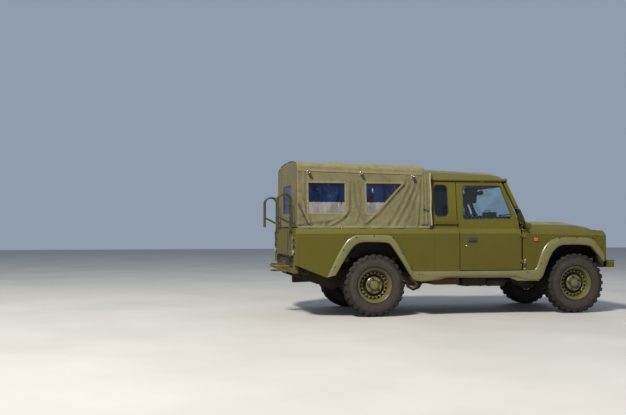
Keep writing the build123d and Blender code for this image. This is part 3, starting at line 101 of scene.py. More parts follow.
def ranged(tree, value, low, high, to_low=0.0, to_high=1.0):
    """A value moved from one range to another, and held at its ends."""
    sockets = {0: value, 1: low, 2: high, 3: to_low, 4: to_high}
    return put(tree, "MapRange", sockets).outputs[0]


def worked(tree, how, first, second):
    """Two values worked into one, multiplied for instance."""
    return put(tree, "Math", {0: first, 1: second}, operation=how).outputs[0]


def new_material(name):
    """An empty material with its shader and the place on the piece as coordinates."""
    material = bpy.data.materials.new(name)
    material.use_nodes = True
    tree = material.node_tree
    tree.nodes.clear()
    shader = put(tree, "BsdfPrincipled")
    put(tree, "OutputMaterial", {"Surface": shader.outputs[0]})
    where = put(tree, "TexCoord").outputs["Object"]
    return material, tree, shader, where


def cloud(tree, where, scale, detail=5.0, rough=0.55, twist=0.0):
    """A cloudy pattern over the piece."""
    sockets = {"Vector": where, "Scale": scale, "Detail": detail, "Roughness": rough,
               "Distortion": twist}
    return put(tree, "TexNoise", sockets).outputs[0]


floor_mesh = bpy.data.meshes.new("studio_floor")
floor_mesh.from_pydata([(-40, -40, 0), (40, -40, 0), (40, 40, 0), (-40, 40, 0)], [], [(0, 1, 2, 3)])
studio_floor = bpy.data.objects.new("studio_floor", floor_mesh)
bpy.context.scene.collection.objects.link(studio_floor)
floor_coat, tree, shader, where = new_material("pale_floor")
grey = ranged(tree, cloud(tree, where, 0.6), 0.3, 0.7)
grey = mixed(tree, grey, (0.4, 0.385, 0.36, 1), (0.46, 0.445, 0.42, 1))
fill(tree, shader, {"Base Color": grey, "Roughness": 0.75})
studio_floor.data.materials.append(floor_coat)

sky = bpy.data.worlds.new("studio_sky")
sky.use_nodes = True
sky.node_tree.nodes["Background"].inputs[0].default_value = (0.66, 0.8, 1.0, 1)
sky.node_tree.nodes["Background"].inputs[1].default_value = 0.42
bpy.context.scene.world = sky
bpy.context.scene.view_settings.view_transform = "Standard"
# Lamps: name, place, aimed at, size, power, colour.
lamps = [("key_lamp", (-10.0, -10.5, 15.0), (0.2, 0.0, 0.8), 2.6, 6200.0, (1.0, 0.95, 0.86)),
         ("side_lamp", (4.0, -10.0, 3.5), (0.3, 0.0, 0.8), 5.0, 45.0, (1.0, 0.98, 0.95)),
         ("back_lamp", (6.0, 9.0, 6.0), (0.0, 0.0, 1.0), 5.0, 90.0, (0.95, 0.97, 1.0)),
         ("rear_lamp", (-8.5, 3.0, 4.5), (-1.0, 0.0, 1.0), 3.5, 50.0, (1.0, 0.98, 0.96))]
for name, place, aim, size, power, colour in lamps:
    lamp_data = bpy.data.lights.new(name, "AREA")
    lamp_data.size = size
    lamp_data.energy = power
    lamp_data.color = colour
    lamp = bpy.data.objects.new(name, lamp_data)
    lamp.location = place
    lamp.rotation_euler = (Vector(aim) - Vector(place)).to_track_quat("-Z", "Y").to_euler()
    bpy.context.scene.collection.objects.link(lamp)

# Chassis: box rails and cross members of welded steel plate, brushed with black chassis paint.
# Road dust lies on the paint, thickest low down and on what faces up.
mm = 0.001


def part_of(tree, vector, axis):
    """One of a vector's three parts: 0, 1 or 2."""
    return put(tree, "SeparateXYZ", {0: vector}).outputs[axis]


def facing_up(tree):
    """How far the surface faces up, from -1 to 1."""
    return part_of(tree, put(tree, "NewGeometry").outputs["Normal"], 2)


def relief(tree, height, strength, distance, under=None):
    """Fine relief from a pattern of heights, laid over another relief if there is one."""
    sockets = {"Height": height, "Strength": strength, "Distance": distance}
    if under is not None:
        sockets["Normal"] = under
    return put(tree, "Bump", sockets).outputs[0]


def shade(colour, share):
    """The same colour, darker or lighter."""
    return tuple(share * c for c in colour[:3]) + (1,)


def metal_finish(name, colour, patch, rough=(0.45, 0.7), metal=0.0, grain=(90.0, 0.25), dust=0.0,
                 dust_top=0.75, dust_colour=(0.22, 0.175, 0.115, 1), coat=0.0, shine=0.4):
    """Paint or bare metal: two tones in patches, uneven gloss, a fine grain, and dust low down."""
    material, tree, shader, where = new_material(name)
    tone = ranged(tree, cloud(tree, where, 2.3, 7.0, 0.6), 0.35, 0.68)
    base = mixed(tree, tone, colour, patch)
    specks = ranged(tree, cloud(tree, where, 55.0, 3.0), 0.62, 0.75, 0.0, 0.35)
    base = mixed(tree, specks, base, shade(patch, 0.55))
    gloss = ranged(tree, cloud(tree, where, 9.0, 6.0), 0.3, 0.7, *rough)
    if dust:
        low = ranged(tree, part_of(tree, where, 2), dust_top, dust_top - 0.55)
        up = ranged(tree, facing_up(tree), 0.25, 1.0, 0.0, 0.8)
        wisps = ranged(tree, cloud(tree, where, 13.0, 8.0, 0.7, 0.6), 0.33, 0.72)
        settled = worked(tree, "MAXIMUM", low, up)
        share = worked(tree, "MULTIPLY", worked(tree, "MULTIPLY", settled, wisps), dust)
        base = mixed(tree, share, base, dust_colour)
        gloss = worked(tree, "MAXIMUM", gloss, worked(tree, "MULTIPLY", share, 0.95))
    fine = relief(tree, cloud(tree, where, grain[0], 4.0), grain[1], 0.0006)
    fill(tree, shader, {"Base Color": base, "Roughness": gloss, "Metallic": metal,
                        "Specular IOR Level": shine, "Coat Weight": coat, "Coat Roughness": 0.28,
                        "Normal": fine})
    return material


def dressed(node, material):
    """A CAD piece keeps its shape and gets a material."""
    obj = nodes[node]
    obj.data.materials.clear()
    obj.data.materials.append(material)
    for face in obj.data.polygons:
        face.material_index = 0
    return obj


def made(name, bm, material, body="chassis", smooth=32.0):
    """A new piece from its mesh, shaded smooth below an angle, riding on a body."""
    mesh = bpy.data.meshes.new(name)
    bmesh.ops.recalc_face_normals(bm, faces=bm.faces)
    bm.to_mesh(mesh)
    bm.free()
    mesh.materials.append(material)
    mesh.shade_smooth()
    mesh.set_sharp_from_angle(angle=math.radians(smooth))
    obj = bpy.data.objects.new(name, mesh)
    bpy.context.scene.collection.objects.link(obj)
    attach(obj, body)
    return obj


def rounded(node, edge, material):
    """The CAD piece again with its sharp edges rounded as pressed or welded steel has them."""
    source = nodes[node]
    bm = bmesh.new()
    bm.from_mesh(source.data)
    bmesh.ops.remove_doubles(bm, verts=bm.verts, dist=2e-5)
    bmesh.ops.dissolve_limit(bm, angle_limit=math.radians(0.8), verts=bm.verts, edges=bm.edges,
                             use_dissolve_boundaries=False)
    obj = made(node + "_shape", bm, material, source["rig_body"])
    if "custom_normal" in obj.data.attributes:
        obj.data.attributes.remove(obj.data.attributes["custom_normal"])
    bevel = obj.modifiers.new("rounded_edges", "BEVEL")
    bevel.width = edge
    bevel.segments = 2
    bevel.limit_method = "ANGLE"
    bevel.angle_limit = math.radians(28)
    bevel.use_clamp_overlap = False
    bevel.harden_normals = False
    weld = obj.modifiers.new("joined_corners", "WELD")
    weld.merge_threshold = 2e-5
    weighted = obj.modifiers.new("flat_faces", "WEIGHTED_NORMAL")
    weighted.keep_sharp = True
    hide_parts(node)
    return obj


chassis_paint = metal_finish("chassis_paint", (0.012, 0.011, 0.009, 1), (0.03, 0.018, 0.01, 1),
                             rough=(0.55, 0.8), dust=0.22, dust_top=0.75,
                             dust_colour=(0.12, 0.075, 0.04, 1), shine=0.25)
for node in ("frame", "crossmembers", "spring_towers", "links"):
    rounded(node, 2.5 * mm, chassis_paint)

# Axles and steering: cast housings and steel tubes in the same black paint, greased at the joints.
# The differentials get their bolted covers, and the swivel balls are bright and oily.
axle_paint = metal_finish("axle_paint", (0.018, 0.015, 0.012, 1), (0.045, 0.028, 0.016, 1),
                          rough=(0.5, 0.8), dust=0.35, dust_top=0.75,
                          dust_colour=(0.16, 0.115, 0.07, 1), grain=(45.0, 0.5))
for node in ("front_axle", "rear_axle", "knuckle_left", "knuckle_right", "track_rod", "propshafts"):
    dressed(node, axle_paint)


def skinned(bm, rows, closed=True):
    """Faces between rows of points, each row joined to the next; closed rows run round."""
    for near, far in zip(rows, rows[1:]):
        for k in range(0 if closed else 1, len(near)):
            bm.faces.new((near[k - 1], near[k], far[k], far[k - 1]))


def ring_points(centre, axis, radius, count, turn=0.0):
    """Places evenly round a circle, with the two directions across its axis."""
    axis = Vector(axis).normalized()
    across = axis.orthogonal().normalized()
    up = axis.cross(across)
    found = []
    for i in range(count):
        angle = turn + 2 * math.pi * i / count
        found.append(Vector(centre) + (across * math.cos(angle) + up * math.sin(angle)) * radius)
    return found


def turned(bm, profile, centre, axis, segments=48):
    """A form turned on an axis. The profile is rows of radius and distance along the axis."""
    axis = Vector(axis).normalized()
    rings = []
    for radius, along in profile:
        middle = Vector(centre) + axis * along
        if radius < 1e-6:
            rings.append([bm.verts.new(middle)])
        else:
            rings.append([bm.verts.new(p) for p in ring_points(middle, axis, radius, segments)])
    for near, far in zip(rings, rings[1:]):
        for i in range(segments):
            j = (i + 1) % segments
            corners = [near[i % len(near)], near[j % len(near)], far[j % len(far)],
                       far[i % len(far)]]
            unique = list(dict.fromkeys(corners))
            if len(unique) > 2:
                bm.faces.new(unique)


def bolt_heads(bm, places, normal, radius, height, sides=6):
    """Hexagon or round heads on their washers, all facing one way."""
    for place in places:
        profile = [(radius * 1.45, 0.0), (radius * 1.45, height * 0.18)]
        turned(bm, profile + [(radius * 1.02, height * 0.2)], place, normal, 16)
        head = [(radius, height * 0.15), (radius, height * 0.82), (radius * 0.8, height),
                (0.0, height)]
        turned(bm, head, place, normal, sides)


rear_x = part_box("rim_rear_left")
front_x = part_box("rim_front_left")
rear_x = (rear_x[0].x + rear_x[1].x) / 2
front_x = (front_x[0].x + front_x[1].x) / 2
wheel_y = 0.743
wheel_z = 0.403
bm = bmesh.new()
for axle_x, way in ((rear_x, -1), (front_x, 1)):
    centre = (axle_x, 0.21, wheel_z)
    cover = [(0.0, 0.128), (0.03, 0.127), (0.062, 0.112), (0.085, 0.096), (0.103, 0.082),
             (0.103, 0.074), (0.094, 0.074)]
    turned(bm, cover, centre, (way, 0, 0), 40)
    bolt_heads(bm, ring_points((axle_x + way * 0.082, 0.21, wheel_z), (way, 0, 0), 0.094, 10),
               (way, 0, 0), 0.0065, 0.007)
made("axle_covers", bm, axle_paint)

# Springs: four coils of round steel bar between the axles and the towers, in black paint,
# each with a telescopic damper of painted tube and bright rod behind it.
spring_paint = metal_finish("spring_paint", (0.012, 0.012, 0.012, 1), (0.04, 0.032, 0.022, 1),
                            rough=(0.4, 0.7), dust=0.3, dust_top=0.8)
bright_steel = metal_finish("bright_steel", (0.42, 0.41, 0.39, 1), (0.3, 0.28, 0.25, 1),
                            rough=(0.22, 0.4), metal=1.0, dust=0.15)


def swept(bm, points, radius, sides=12, closed=False):
    """Round bar or tube along a line of points."""
    count = len(points)
    rings = []
    side = None
    for i, point in enumerate(points):
        back = points[i - 1] if (i > 0 or closed) else point
        fore = points[(i + 1) % count] if (i < count - 1 or closed) else point
        way = (Vector(fore) - Vector(back)).normalized()
        if side is None:
            side = way.orthogonal().normalized()
        side = (side - way * side.dot(way)).normalized()
        up = way.cross(side)
        ring = []
        for k in range(sides):
            angle = 2 * math.pi * k / sides
            out = side * math.cos(angle) + up * math.sin(angle)
            ring.append(bm.verts.new(Vector(point) + out * radius))
        rings.append(ring)
    skinned(bm, rings + rings[:1] if closed else rings)
    if not closed:
        bm.faces.new(rings[0][::-1])
        bm.faces.new(rings[-1])


spring_low_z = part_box("springs")[0].z
bm = bmesh.new()
for axle_x, top_z in ((rear_x, 0.69), (front_x, 0.715)):
    for side_y in (-0.47, 0.47):
        low_z = spring_low_z + 0.009
        high_z = top_z - 0.01
        steps = 7 * 20
        coil = []
        for i in range(steps + 1):
            share = i / steps
            eased = min(max((share - 0.06) / 0.88, 0.0), 1.0)
            angle = 2 * math.pi * 7 * share
            coil.append((axle_x + 0.043 * math.cos(angle), side_y + 0.043 * math.sin(angle),
                         low_z + (high_z - low_z) * eased))
        swept(bm, coil, 0.0085, 8)
coils = made("coil_springs", bm, spring_paint, smooth=60)
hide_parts("springs")

bm = bmesh.new()
bright = bmesh.new()
for axle_x in (rear_x, front_x):
    for side_y in (-0.35, 0.35):
        foot = Vector((axle_x + 0.105, side_y, wheel_z + 0.02))
        head = Vector((axle_x + 0.15, side_y, 0.7))
        way_up = (head - foot).normalized()
        middle = foot.lerp(head, 0.55)
        turned(bm,
               [(0.0, 0.0), (0.02, 0.0), (0.024, 0.02), (0.024, (middle - foot).length),
                (0.0, (middle - foot).length)],
               foot, way_up, 20)
        turned(bm, [(0.0, 0.0), (0.03, 0.0), (0.03, 0.1), (0.0, 0.1)], head - way_up * 0.1, way_up,
               20)
        turned(bright, [(0.0, 0.0), (0.008, 0.0), (0.008, 0.2), (0.0, 0.2)], middle - way_up * 0.02,
               way_up, 12)
made("dampers", bm, spring_paint)
made("damper_rods", bright, bright_steel)

# Engine, gearbox and exhaust: cast alloy and iron that has dulled, and pipes gone brown with heat.
cast_iron = metal_finish("cast_iron", (0.055, 0.052, 0.048, 1), (0.09, 0.075, 0.055, 1),
                         rough=(0.55, 0.8), metal=0.35, grain=(38.0, 0.6), dust=0.5, dust_top=0.8)
cast_alloy = metal_finish("cast_alloy", (0.2, 0.195, 0.18, 1), (0.12, 0.105, 0.085, 1),
                          rough=(0.5, 0.75), metal=0.6, grain=(50.0, 0.5), dust=0.6, dust_top=0.8)
burnt_pipe = metal_finish("burnt_pipe", (0.045, 0.026, 0.016, 1), (0.024, 0.017, 0.013, 1),
                          rough=(0.65, 0.85), metal=0.2, grain=(70.0, 0.5), dust=0.25, dust_top=0.7,
                          shine=0.25)
rounded("engine_block", 6 * mm, cast_iron)
rounded("gearbox", 5 * mm, cast_alloy)
dressed("exhaust", burnt_pipe)
tank_primer = metal_finish("tank_primer", (0.085, 0.03, 0.01, 1), (0.048, 0.021, 0.01, 1),
                           rough=(0.6, 0.8), dust=0.3, dust_top=0.7, shine=0.25)
rounded("fuel_tank", 4 * mm, tank_primer)

# Wheels: mud-terrain tyres on pressed steel rims painted olive, held by five nuts on each hub.
# The carcass is one turned form, and the chunky lugs step down over its shoulders on both sides.
tyre_profile = [(0.2083, 0.06), (0.212, 0.074), (0.222, 0.0845), (0.229, 0.0875), (0.234, 0.0875),
                (0.238, 0.092), (0.262, 0.0975), (0.283, 0.099), (0.2845, 0.1), (0.296, 0.1),
                (0.2975, 0.099), (0.322, 0.0975), (0.34, 0.0955), (0.356, 0.0925), (0.374, 0.086),
                (0.383, 0.078), (0.3865, 0.066), (0.387, 0.04), (0.387, 0.0)]
lug_count = 27
tread_radius = 0.4025
rim_paint = metal_finish("rim_paint", (0.105, 0.096, 0.026, 1), (0.07, 0.062, 0.016, 1),
                         rough=(0.2, 0.4), dust=0.15, dust_top=1.2, grain=(120.0, 0.18), coat=0.35)
nut_steel = metal_finish("nut_steel", (0.06, 0.052, 0.022, 1), (0.022, 0.018, 0.012, 1),
                         rough=(0.22, 0.4), metal=0.4)


def wheel_reach(tree, where):
    """Distance from the nearer axle's line, on either end of the truck."""
    rise = worked(tree, "SUBTRACT", part_of(tree, where, 2), wheel_z)
    reach = None
    for axle_x in (rear_x, front_x):
        along = worked(tree, "SUBTRACT", part_of(tree, where, 0), axle_x)
        squared = worked(tree, "ADD", worked(tree, "MULTIPLY", along, along),
                         worked(tree, "MULTIPLY", rise, rise))
        radius = put(tree, "Math", {0: squared}, operation="SQRT").outputs[0]
        reach = radius if reach is None else worked(tree, "MINIMUM", reach, radius)
    return reach


def tyre_rubber():
    """Black rubber gone grey, with road dust on the walls and packed between the lugs."""
    material, tree, shader, where = new_material("tyre_rubber")
    reach = wheel_reach(tree, where)
    smear = ranged(tree, cloud(tree, where, 16.0, 8.0, 0.68, 0.5), 0.28, 0.7, 0.35, 1.0)
    # Dust browns the wall from the rim to the lugs; the lugs stay black but for their flanks.
    wall = worked(tree, "MULTIPLY", ranged(tree, reach, 0.218, 0.262),
                  ranged(tree, reach, 0.35, 0.322))
    wall = worked(tree, "MULTIPLY", wall, 0.8)
    flanks = ranged(tree, reach, 0.3995, 0.38, 0.1, 0.24)
    share = worked(tree, "MULTIPLY", worked(tree, "MAXIMUM", wall, flanks), smear)
    base = mixed(tree, ranged(tree, cloud(tree, where, 5.0), 0.35, 0.65),
                 (0.009, 0.0085, 0.008, 1), (0.015, 0.0142, 0.0135, 1))
    base = mixed(tree, share, base, (0.068, 0.055, 0.043, 1))
    pebble = cloud(tree, where, 260.0, 3.0)
    fill(tree, shader, {"Base Color": base, "Roughness": ranged(tree, share, 0.0, 0.8, 0.62, 0.9),
                        "Specular IOR Level": 0.22, "Normal": relief(tree, pebble, 0.3, 0.0008)})
    return material


def lug(bm, centre, angle, span, side, section, lean=0.0, taper=0.82):
    """One tread lug: its cross section, rows of distance out and radius, drawn along the tread."""
    sections = []
    for step, shrink in ((-0.5, taper), (-0.4, 1.0), (0.4, 1.0), (0.5, taper)):
        ring = []
        for out, radius in section:
            full = radius if shrink == 1.0 else radius - (radius - 0.383) * 0.3
            turn = angle + (step * span + lean * out) / 0.395
            ring.append(bm.verts.new((centre[0] + full * math.cos(turn), centre[1] + side * out,
                                      centre[2] + full * math.sin(turn))))
        sections.append(ring)
    skinned(bm, sections)
    bm.faces.new(sections[0])
    bm.faces.new(sections[-1][::-1])


def opened(material):
    """A finished material's tree, coordinates and colour, to lay one more tone over it."""
    tree = material.node_tree
    where = next(n for n in tree.nodes if n.type == "TEX_COORD").outputs["Object"]
    colour = next(n for n in tree.nodes if n.type == "BSDF_PRINCIPLED").inputs["Base Color"]
    return tree, where, colour


def overlaid(tree, colour, share, tone):
    """One more tone over the colour that a shader has."""
    tree.links.new(mixed(tree, share, colour.links[0].from_socket, tone), colour)


# Painted shade, with some brake dust in it, darkens the rims' wells and vents, the ring round the
# hub and the dish behind the face.
tree, where, colour = opened(rim_paint)
reach = wheel_reach(tree, where)
well_shade = worked(tree, "MULTIPLY", ranged(tree, reach, 0.104, 0.112), ranged(tree, reach, 0.152, 0.14))
speckle = ranged(tree, cloud(tree, where, 30.0, 5.0), 0.25, 0.6, 0.6, 1.0)
well_shade = worked(tree, "MULTIPLY", well_shade, speckle)
hub_shade = worked(tree, "MULTIPLY", ranged(tree, reach, 0.054, 0.06),
                  ranged(tree, reach, 0.08, 0.066, 0.0, 0.8))
well_shade = worked(tree, "MAXIMUM", well_shade, hub_shade)
aside = put(tree, "Math", {0: part_of(tree, where, 1)}, operation="ABSOLUTE").outputs[0]
well_shade = worked(tree, "MAXIMUM", well_shade, ranged(tree, aside, wheel_y - 0.002, wheel_y - 0.022))
overlaid(tree, colour, well_shade, (0.01, 0.009, 0.007, 1))

# Rim: from the outer flange down the barrel, over the vented slope, to the raised hub face.
rim_profile = [(0.2222, 0.08), (0.2228, 0.085), (0.2195, 0.0862), (0.215, 0.0835), (0.2115, 0.076),
               (0.2085, 0.069), (0.2, 0.066), (0.1945, 0.056), (0.193, 0.03), (0.19, 0.015),
               (0.186, 0.0125), (0.18, 0.0165), (0.17, 0.0215), (0.164, 0.024), (0.152, 0.0225),
               (0.144, 0.013), (0.133, -0.008), (0.124, -0.012), (0.115, -0.004), (0.108, 0.02),
               (0.1045, 0.0335), (0.1, 0.037), (0.092, 0.0372), (0.072, 0.0372), (0.061, 0.0385),
               (0.0565, 0.048), (0.053, 0.056), (0.048, 0.059), (0.044, 0.06), (0.042, 0.064),
               (0.036, 0.0665), (0.02, 0.0672), (0.0, 0.0672)]
vent_rows = (11, 14)


def pressed_rim(centre, sign):
    """The rim's plate, turned on the axle, with twenty vents cut through the slope."""
    bm = bmesh.new()
    segments = 120
    rings = []
    for radius, out in rim_profile:
        if radius == 0.0:
            rings.append([bm.verts.new((centre[0], centre[1] + sign * out, centre[2]))])
            continue
        ring = []
        for k in range(segments):
            angle = 2 * math.pi * k / segments
            ring.append(bm.verts.new((centre[0] + radius * math.cos(angle), centre[1] + sign * out,
                                      centre[2] + radius * math.sin(angle))))
        rings.append(ring)
    for row, (near, far) in enumerate(zip(rings, rings[1:])):
        for k in range(segments):
            if vent_rows[0] <= row < vent_rows[1] and k % 6 in (0, 1, 2):
                continue
            j = (k + 1) % segments
            if len(far) == 1:
                bm.faces.new((near[k], near[j], far[0]))
            else:
                bm.faces.new((near[k], near[j], far[j], far[k]))
    # The inner barrel and flange behind the dish.
    inner = [(0.193, 0.03), (0.1925, -0.02), (0.196, -0.062), (0.208, -0.07), (0.215, -0.0835),
             (0.2222, -0.0855)]
    turned(bm, inner, centre, (0, sign, 0), segments)
    bmesh.ops.remove_doubles(bm, verts=bm.verts, dist=1e-5)
    return bm


rubber = tyre_rubber()
long_lug = [(0.05, 0.384), (0.05, tread_radius), (0.078, tread_radius), (0.0885, 0.3985),
            (0.0955, 0.386), (0.0985, 0.362), (0.0992, 0.343), (0.0955, 0.34), (0.085, 0.365)]
short_lug = [(0.046, 0.384), (0.046, tread_radius), (0.076, tread_radius), (0.0865, 0.3985),
             (0.0935, 0.386), (0.096, 0.366), (0.092, 0.362), (0.082, 0.375)]
inner_lug = [(0.004, 0.384), (0.004, tread_radius), (0.04, tread_radius), (0.04, 0.384)]
wall_bar = [(0.0935, 0.334), (0.0975, 0.3335), (0.0985, 0.31), (0.096, 0.309)]
hands = (("left", 1), ("right", -1))
for end, axle_x in (("rear", rear_x), ("front", front_x)):
    for hand, sign in hands:
        centre = (axle_x, sign * wheel_y, wheel_z)
        at = end + "_" + hand
        body = "wheel_" + at
        bm = bmesh.new()
        for side in (1, -1):
            turned(bm, [(r, side * a) for r, a in tyre_profile], centre, (0, 1, 0), 108)
        bmesh.ops.remove_doubles(bm, verts=bm.verts, dist=1e-5)
        for side in (1, -1):
            for i in range(lug_count):
                angle = 2 * math.pi * (i + (0.5 if side > 0 else 0.0)) / lug_count
                span, section = (0.054, long_lug) if i % 2 else (0.047, short_lug)
                lug(bm, centre, angle, span, side, section)
                lug(bm, centre, angle + 0.11, 0.052, side, inner_lug, lean=0.45)
                # A raised bar on the wall between the lugs.
                lug(bm, centre, angle, 0.012, side, wall_bar, taper=1.0)
        tyre = made("tread_tyre_" + at, bm, rubber, body, 26)
        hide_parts("tyre_" + at)

        rim = made("pressed_rim_" + at, pressed_rim(centre, sign), rim_paint, body,
                   30)
        wall = rim.modifiers.new("plate", "SOLIDIFY")
        wall.thickness = 0.0032
        wall.offset = -1.0
        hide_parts("rim_" + at)
        bm = bmesh.new()
        nut_y = sign * (wheel_y + 0.0368)
        nut_places = ring_points((axle_x, nut_y, wheel_z), (0, 1, 0), 0.082, 5, 0.3)
        bolt_heads(bm, nut_places, (0, sign, 0), 0.0145, 0.018)
        for place in nut_places:
            turned(bm, [(0.02, 0.0), (0.0185, 0.003), (0.0, 0.003)], place, (0, sign, 0), 20)
            turned(bm, [(0.0075, 0.0), (0.0075, 0.026), (0.0, 0.028)], place, (0, sign, 0), 12)
        flange_nuts = ring_points((axle_x, sign * (wheel_y + 0.059), wheel_z), (0, 1, 0), 0.0485, 5,
                                  0.1)
        bolt_heads(bm, flange_nuts, (0, sign, 0), 0.0045, 0.0045)
        made("wheel_nuts_" + at, bm, nut_steel, body)
        # Valve: a rubber stem with a black cap, in the rim beside one vent.
        bm = bmesh.new()
        way = Vector((-0.55 * sign, 0.0, 0.835)).normalized()
        foot = Vector((axle_x, sign * (wheel_y + 0.045), wheel_z)) + way * 0.1905
        lean = (Vector((0, sign, 0)) - way * 0.35).normalized()
        turned(bm, [(0.006, -0.004), (0.0055, 0.006), (0.0035, 0.012), (0.0035, 0.02),
                    (0.0045, 0.021), (0.0045, 0.03), (0.0, 0.0315)], foot, lean, 12)
        made("tyre_valve_" + at, bm, rubber, body)

# Brake discs with their dished dust shields, close behind the rims' vents: rusted iron, in the
# wheel's shadow.
rusty_iron = metal_finish("rusty_iron", (0.13, 0.065, 0.032, 1), (0.06, 0.038, 0.026, 1),
                          rough=(0.7, 0.9), metal=0.3, grain=(60.0, 0.5), dust=0.4)
brake_disc = [(0.05, 0.0), (0.183, 0.0), (0.1865, 0.022), (0.1865, 0.046), (0.1845, 0.046),
              (0.182, 0.002), (0.152, 0.0025), (0.15, 0.01), (0.148, 0.02), (0.144, 0.022),
              (0.05, 0.022)]
disc_y = 0.668
bm = bmesh.new()
for sign in (1, -1):
    turned(bm, brake_disc, (rear_x, sign * disc_y, wheel_z), (0, sign, 0), 60)
made("brake_discs_rear", bm, rusty_iron)
for hand, sign in hands:
    bm = bmesh.new()
    turned(bm, brake_disc, (front_x, sign * disc_y, wheel_z), (0, sign, 0), 60)
    made("brake_disc_front_" + hand, bm, rusty_iron, "knuckle_" + hand)

# Sills: folded steel boxes under the doors, in the lighter satin paint that the flares have too.
# Body paint is olive, brushed satin, with painted shade on its upright faces, painted sky light on
# the faces turned up, and browner low down on the sides.


def body_paint():
    """Olive vehicle paint: bleached patches, brown dust that thickens downwards, runs and chips,
    with painted shade on upright faces and painted sky light on those facing up.
    """
    material, tree, shader, where = new_material("olive_body_paint")
    facing = facing_up(tree)
    olive = (0.1, 0.086, 0.009, 1)
    deep = (0.082, 0.069, 0.006, 1)
    patches = ranged(tree, cloud(tree, where, 1.6, 6.0, 0.62, 0.4), 0.36, 0.66)
    base = mixed(tree, patches, olive, deep)
    # Rain streaks: a cloud drawn out downwards.
    tall = put(tree, "Mapping", {"Vector": where, "Scale": (24.0, 24.0, 1.6)}).outputs[0]
    streaks = ranged(tree, cloud(tree, tall, 1.0, 5.0, 0.6), 0.5, 0.75, 0.0, 0.3)
    base = mixed(tree, streaks, base, (0.108, 0.094, 0.018, 1))
    # Painted shade on upright and downward faces, then painted sky light on faces turned up.
    upright_shade = ranged(tree, facing, 0.1, 0.01, 0.0, 0.55)
    base = mixed(tree, upright_shade, base, (0.071, 0.058, 0.003, 1))
    sky_lit_top = ranged(tree, facing, 0.15, 0.85, 0.0, 0.6)
    base = mixed(tree, sky_lit_top, base, (0.098, 0.092, 0.028, 1))
    wisps = ranged(tree, cloud(tree, where, 11.0, 9.0, 0.72, 0.5), 0.3, 0.72)
    low = ranged(tree, part_of(tree, where, 2), 0.98, 0.5, 0.1, 0.55)
    dust = worked(tree, "MULTIPLY", low, wisps)
    base = mixed(tree, dust, base, (0.085, 0.06, 0.016, 1))
    chips = ranged(tree, cloud(tree, where, 48.0, 2.0), 0.7, 0.76, 0.0, 0.5)
    base = mixed(tree, chips, base, (0.06, 0.052, 0.022, 1))
    gloss = ranged(tree, cloud(tree, where, 7.0, 7.0, 0.62), 0.3, 0.72, 0.42, 0.6)
    gloss = worked(tree, "MAXIMUM", gloss, ranged(tree, dust, 0.0, 0.6, 0.4, 0.75))
    # Brushed paint grain, and panels that are nowhere quite flat.
    wide = put(tree, "Mapping", {"Vector": where, "Scale": (1.0, 1.0, 3.0)}).outputs[0]
    brushed = relief(tree, cloud(tree, wide, 70.0, 4.0), 0.12, 0.0008)
    uneven = relief(tree, cloud(tree, where, 2.6, 2.0, 0.35), 0.3, 0.02, brushed)
    fill(tree, shader, {"Base Color": base, "Roughness": gloss, "Specular IOR Level": 0.24,
                        "Normal": uneven})
    return material


olive_paint = body_paint()
flare_paint = metal_finish("flare_paint", (0.142, 0.132, 0.045, 1), (0.118, 0.108, 0.033, 1),
                           rough=(0.2, 0.36), dust=0.25, dust_top=0.7,
                           dust_colour=(0.1, 0.075, 0.03, 1), grain=(120.0, 0.15), shine=0.6)
rounded("sills", 4 * mm, flare_paint)

# Cab floor, bulkhead and inner wings: pressed steel in body paint, with black rubber mats on the
# floor.
floor_paint = metal_finish("floor_paint", (0.08, 0.074, 0.036, 1), (0.055, 0.05, 0.028, 1),
                           rough=(0.5, 0.75), dust=0.5, dust_top=1.1)
rounded("cab_floor", 3 * mm, floor_paint)
rounded("bulkhead", 3 * mm, olive_paint)
rounded("inner_wings", 2.5 * mm, chassis_paint)
mat_rubber = metal_finish("mat_rubber", (0.018, 0.018, 0.018, 1), (0.032, 0.03, 0.026, 1),
                          rough=(0.7, 0.9), dust=0.6, dust_top=1.2)


def panel(bm, corners, thick, edge=0.0, segments=2):
    """A flat panel from its corner places, thickened along its own normal and with eased edges."""
    first, second, third = (Vector(c) for c in corners[:3])
    normal = (second - first).cross(third - second).normalized()
    low = [bm.verts.new(Vector(c)) for c in corners]
    high = [bm.verts.new(Vector(c) + normal * thick) for c in corners]
    faces = [bm.faces.new(low[::-1]), bm.faces.new(high)]
    count = len(corners)
    for i in range(count):
        j = (i + 1) % count
        faces.append(bm.faces.new((low[i], low[j], high[j], high[i])))
    if edge:
        edges = {e for f in faces for e in f.edges}
        bmesh.ops.bevel(bm, geom=list(edges), offset=edge, segments=segments, profile=0.5,
                        affect="EDGES")


def bar(bm, low, high, edge=0.002, segments=2):
    """A straight-sided bar or block between two corners, with eased edges."""
    x0, y0, z0 = low
    x1, y1, z1 = high
    corners = [(x0, y0, z0), (x1, y0, z0), (x1, y1, z0), (x0, y1, z0)]
    panel(bm, corners, z1 - z0, edge, segments)


def side_bar(bm, sign, low, high, edge=0.002, segments=2):
    """A bar on one side of the truck, given as it lies on the left side."""
    y0, y1 = sorted((sign * low[1], sign * high[1]))
    bar(bm, (low[0], y0, low[2]), (high[0], y1, high[2]), edge, segments)


bm = bmesh.new()
for sign in (1, -1):
    for i in range(8):
        x0 = 0.7 + i * 0.03
        side_bar(bm, sign, (x0, 0.2, 0.6601), (x0 + 0.022, 0.76, 0.6665), 0.0015)
made("floor_mats", bm, mat_rubber)

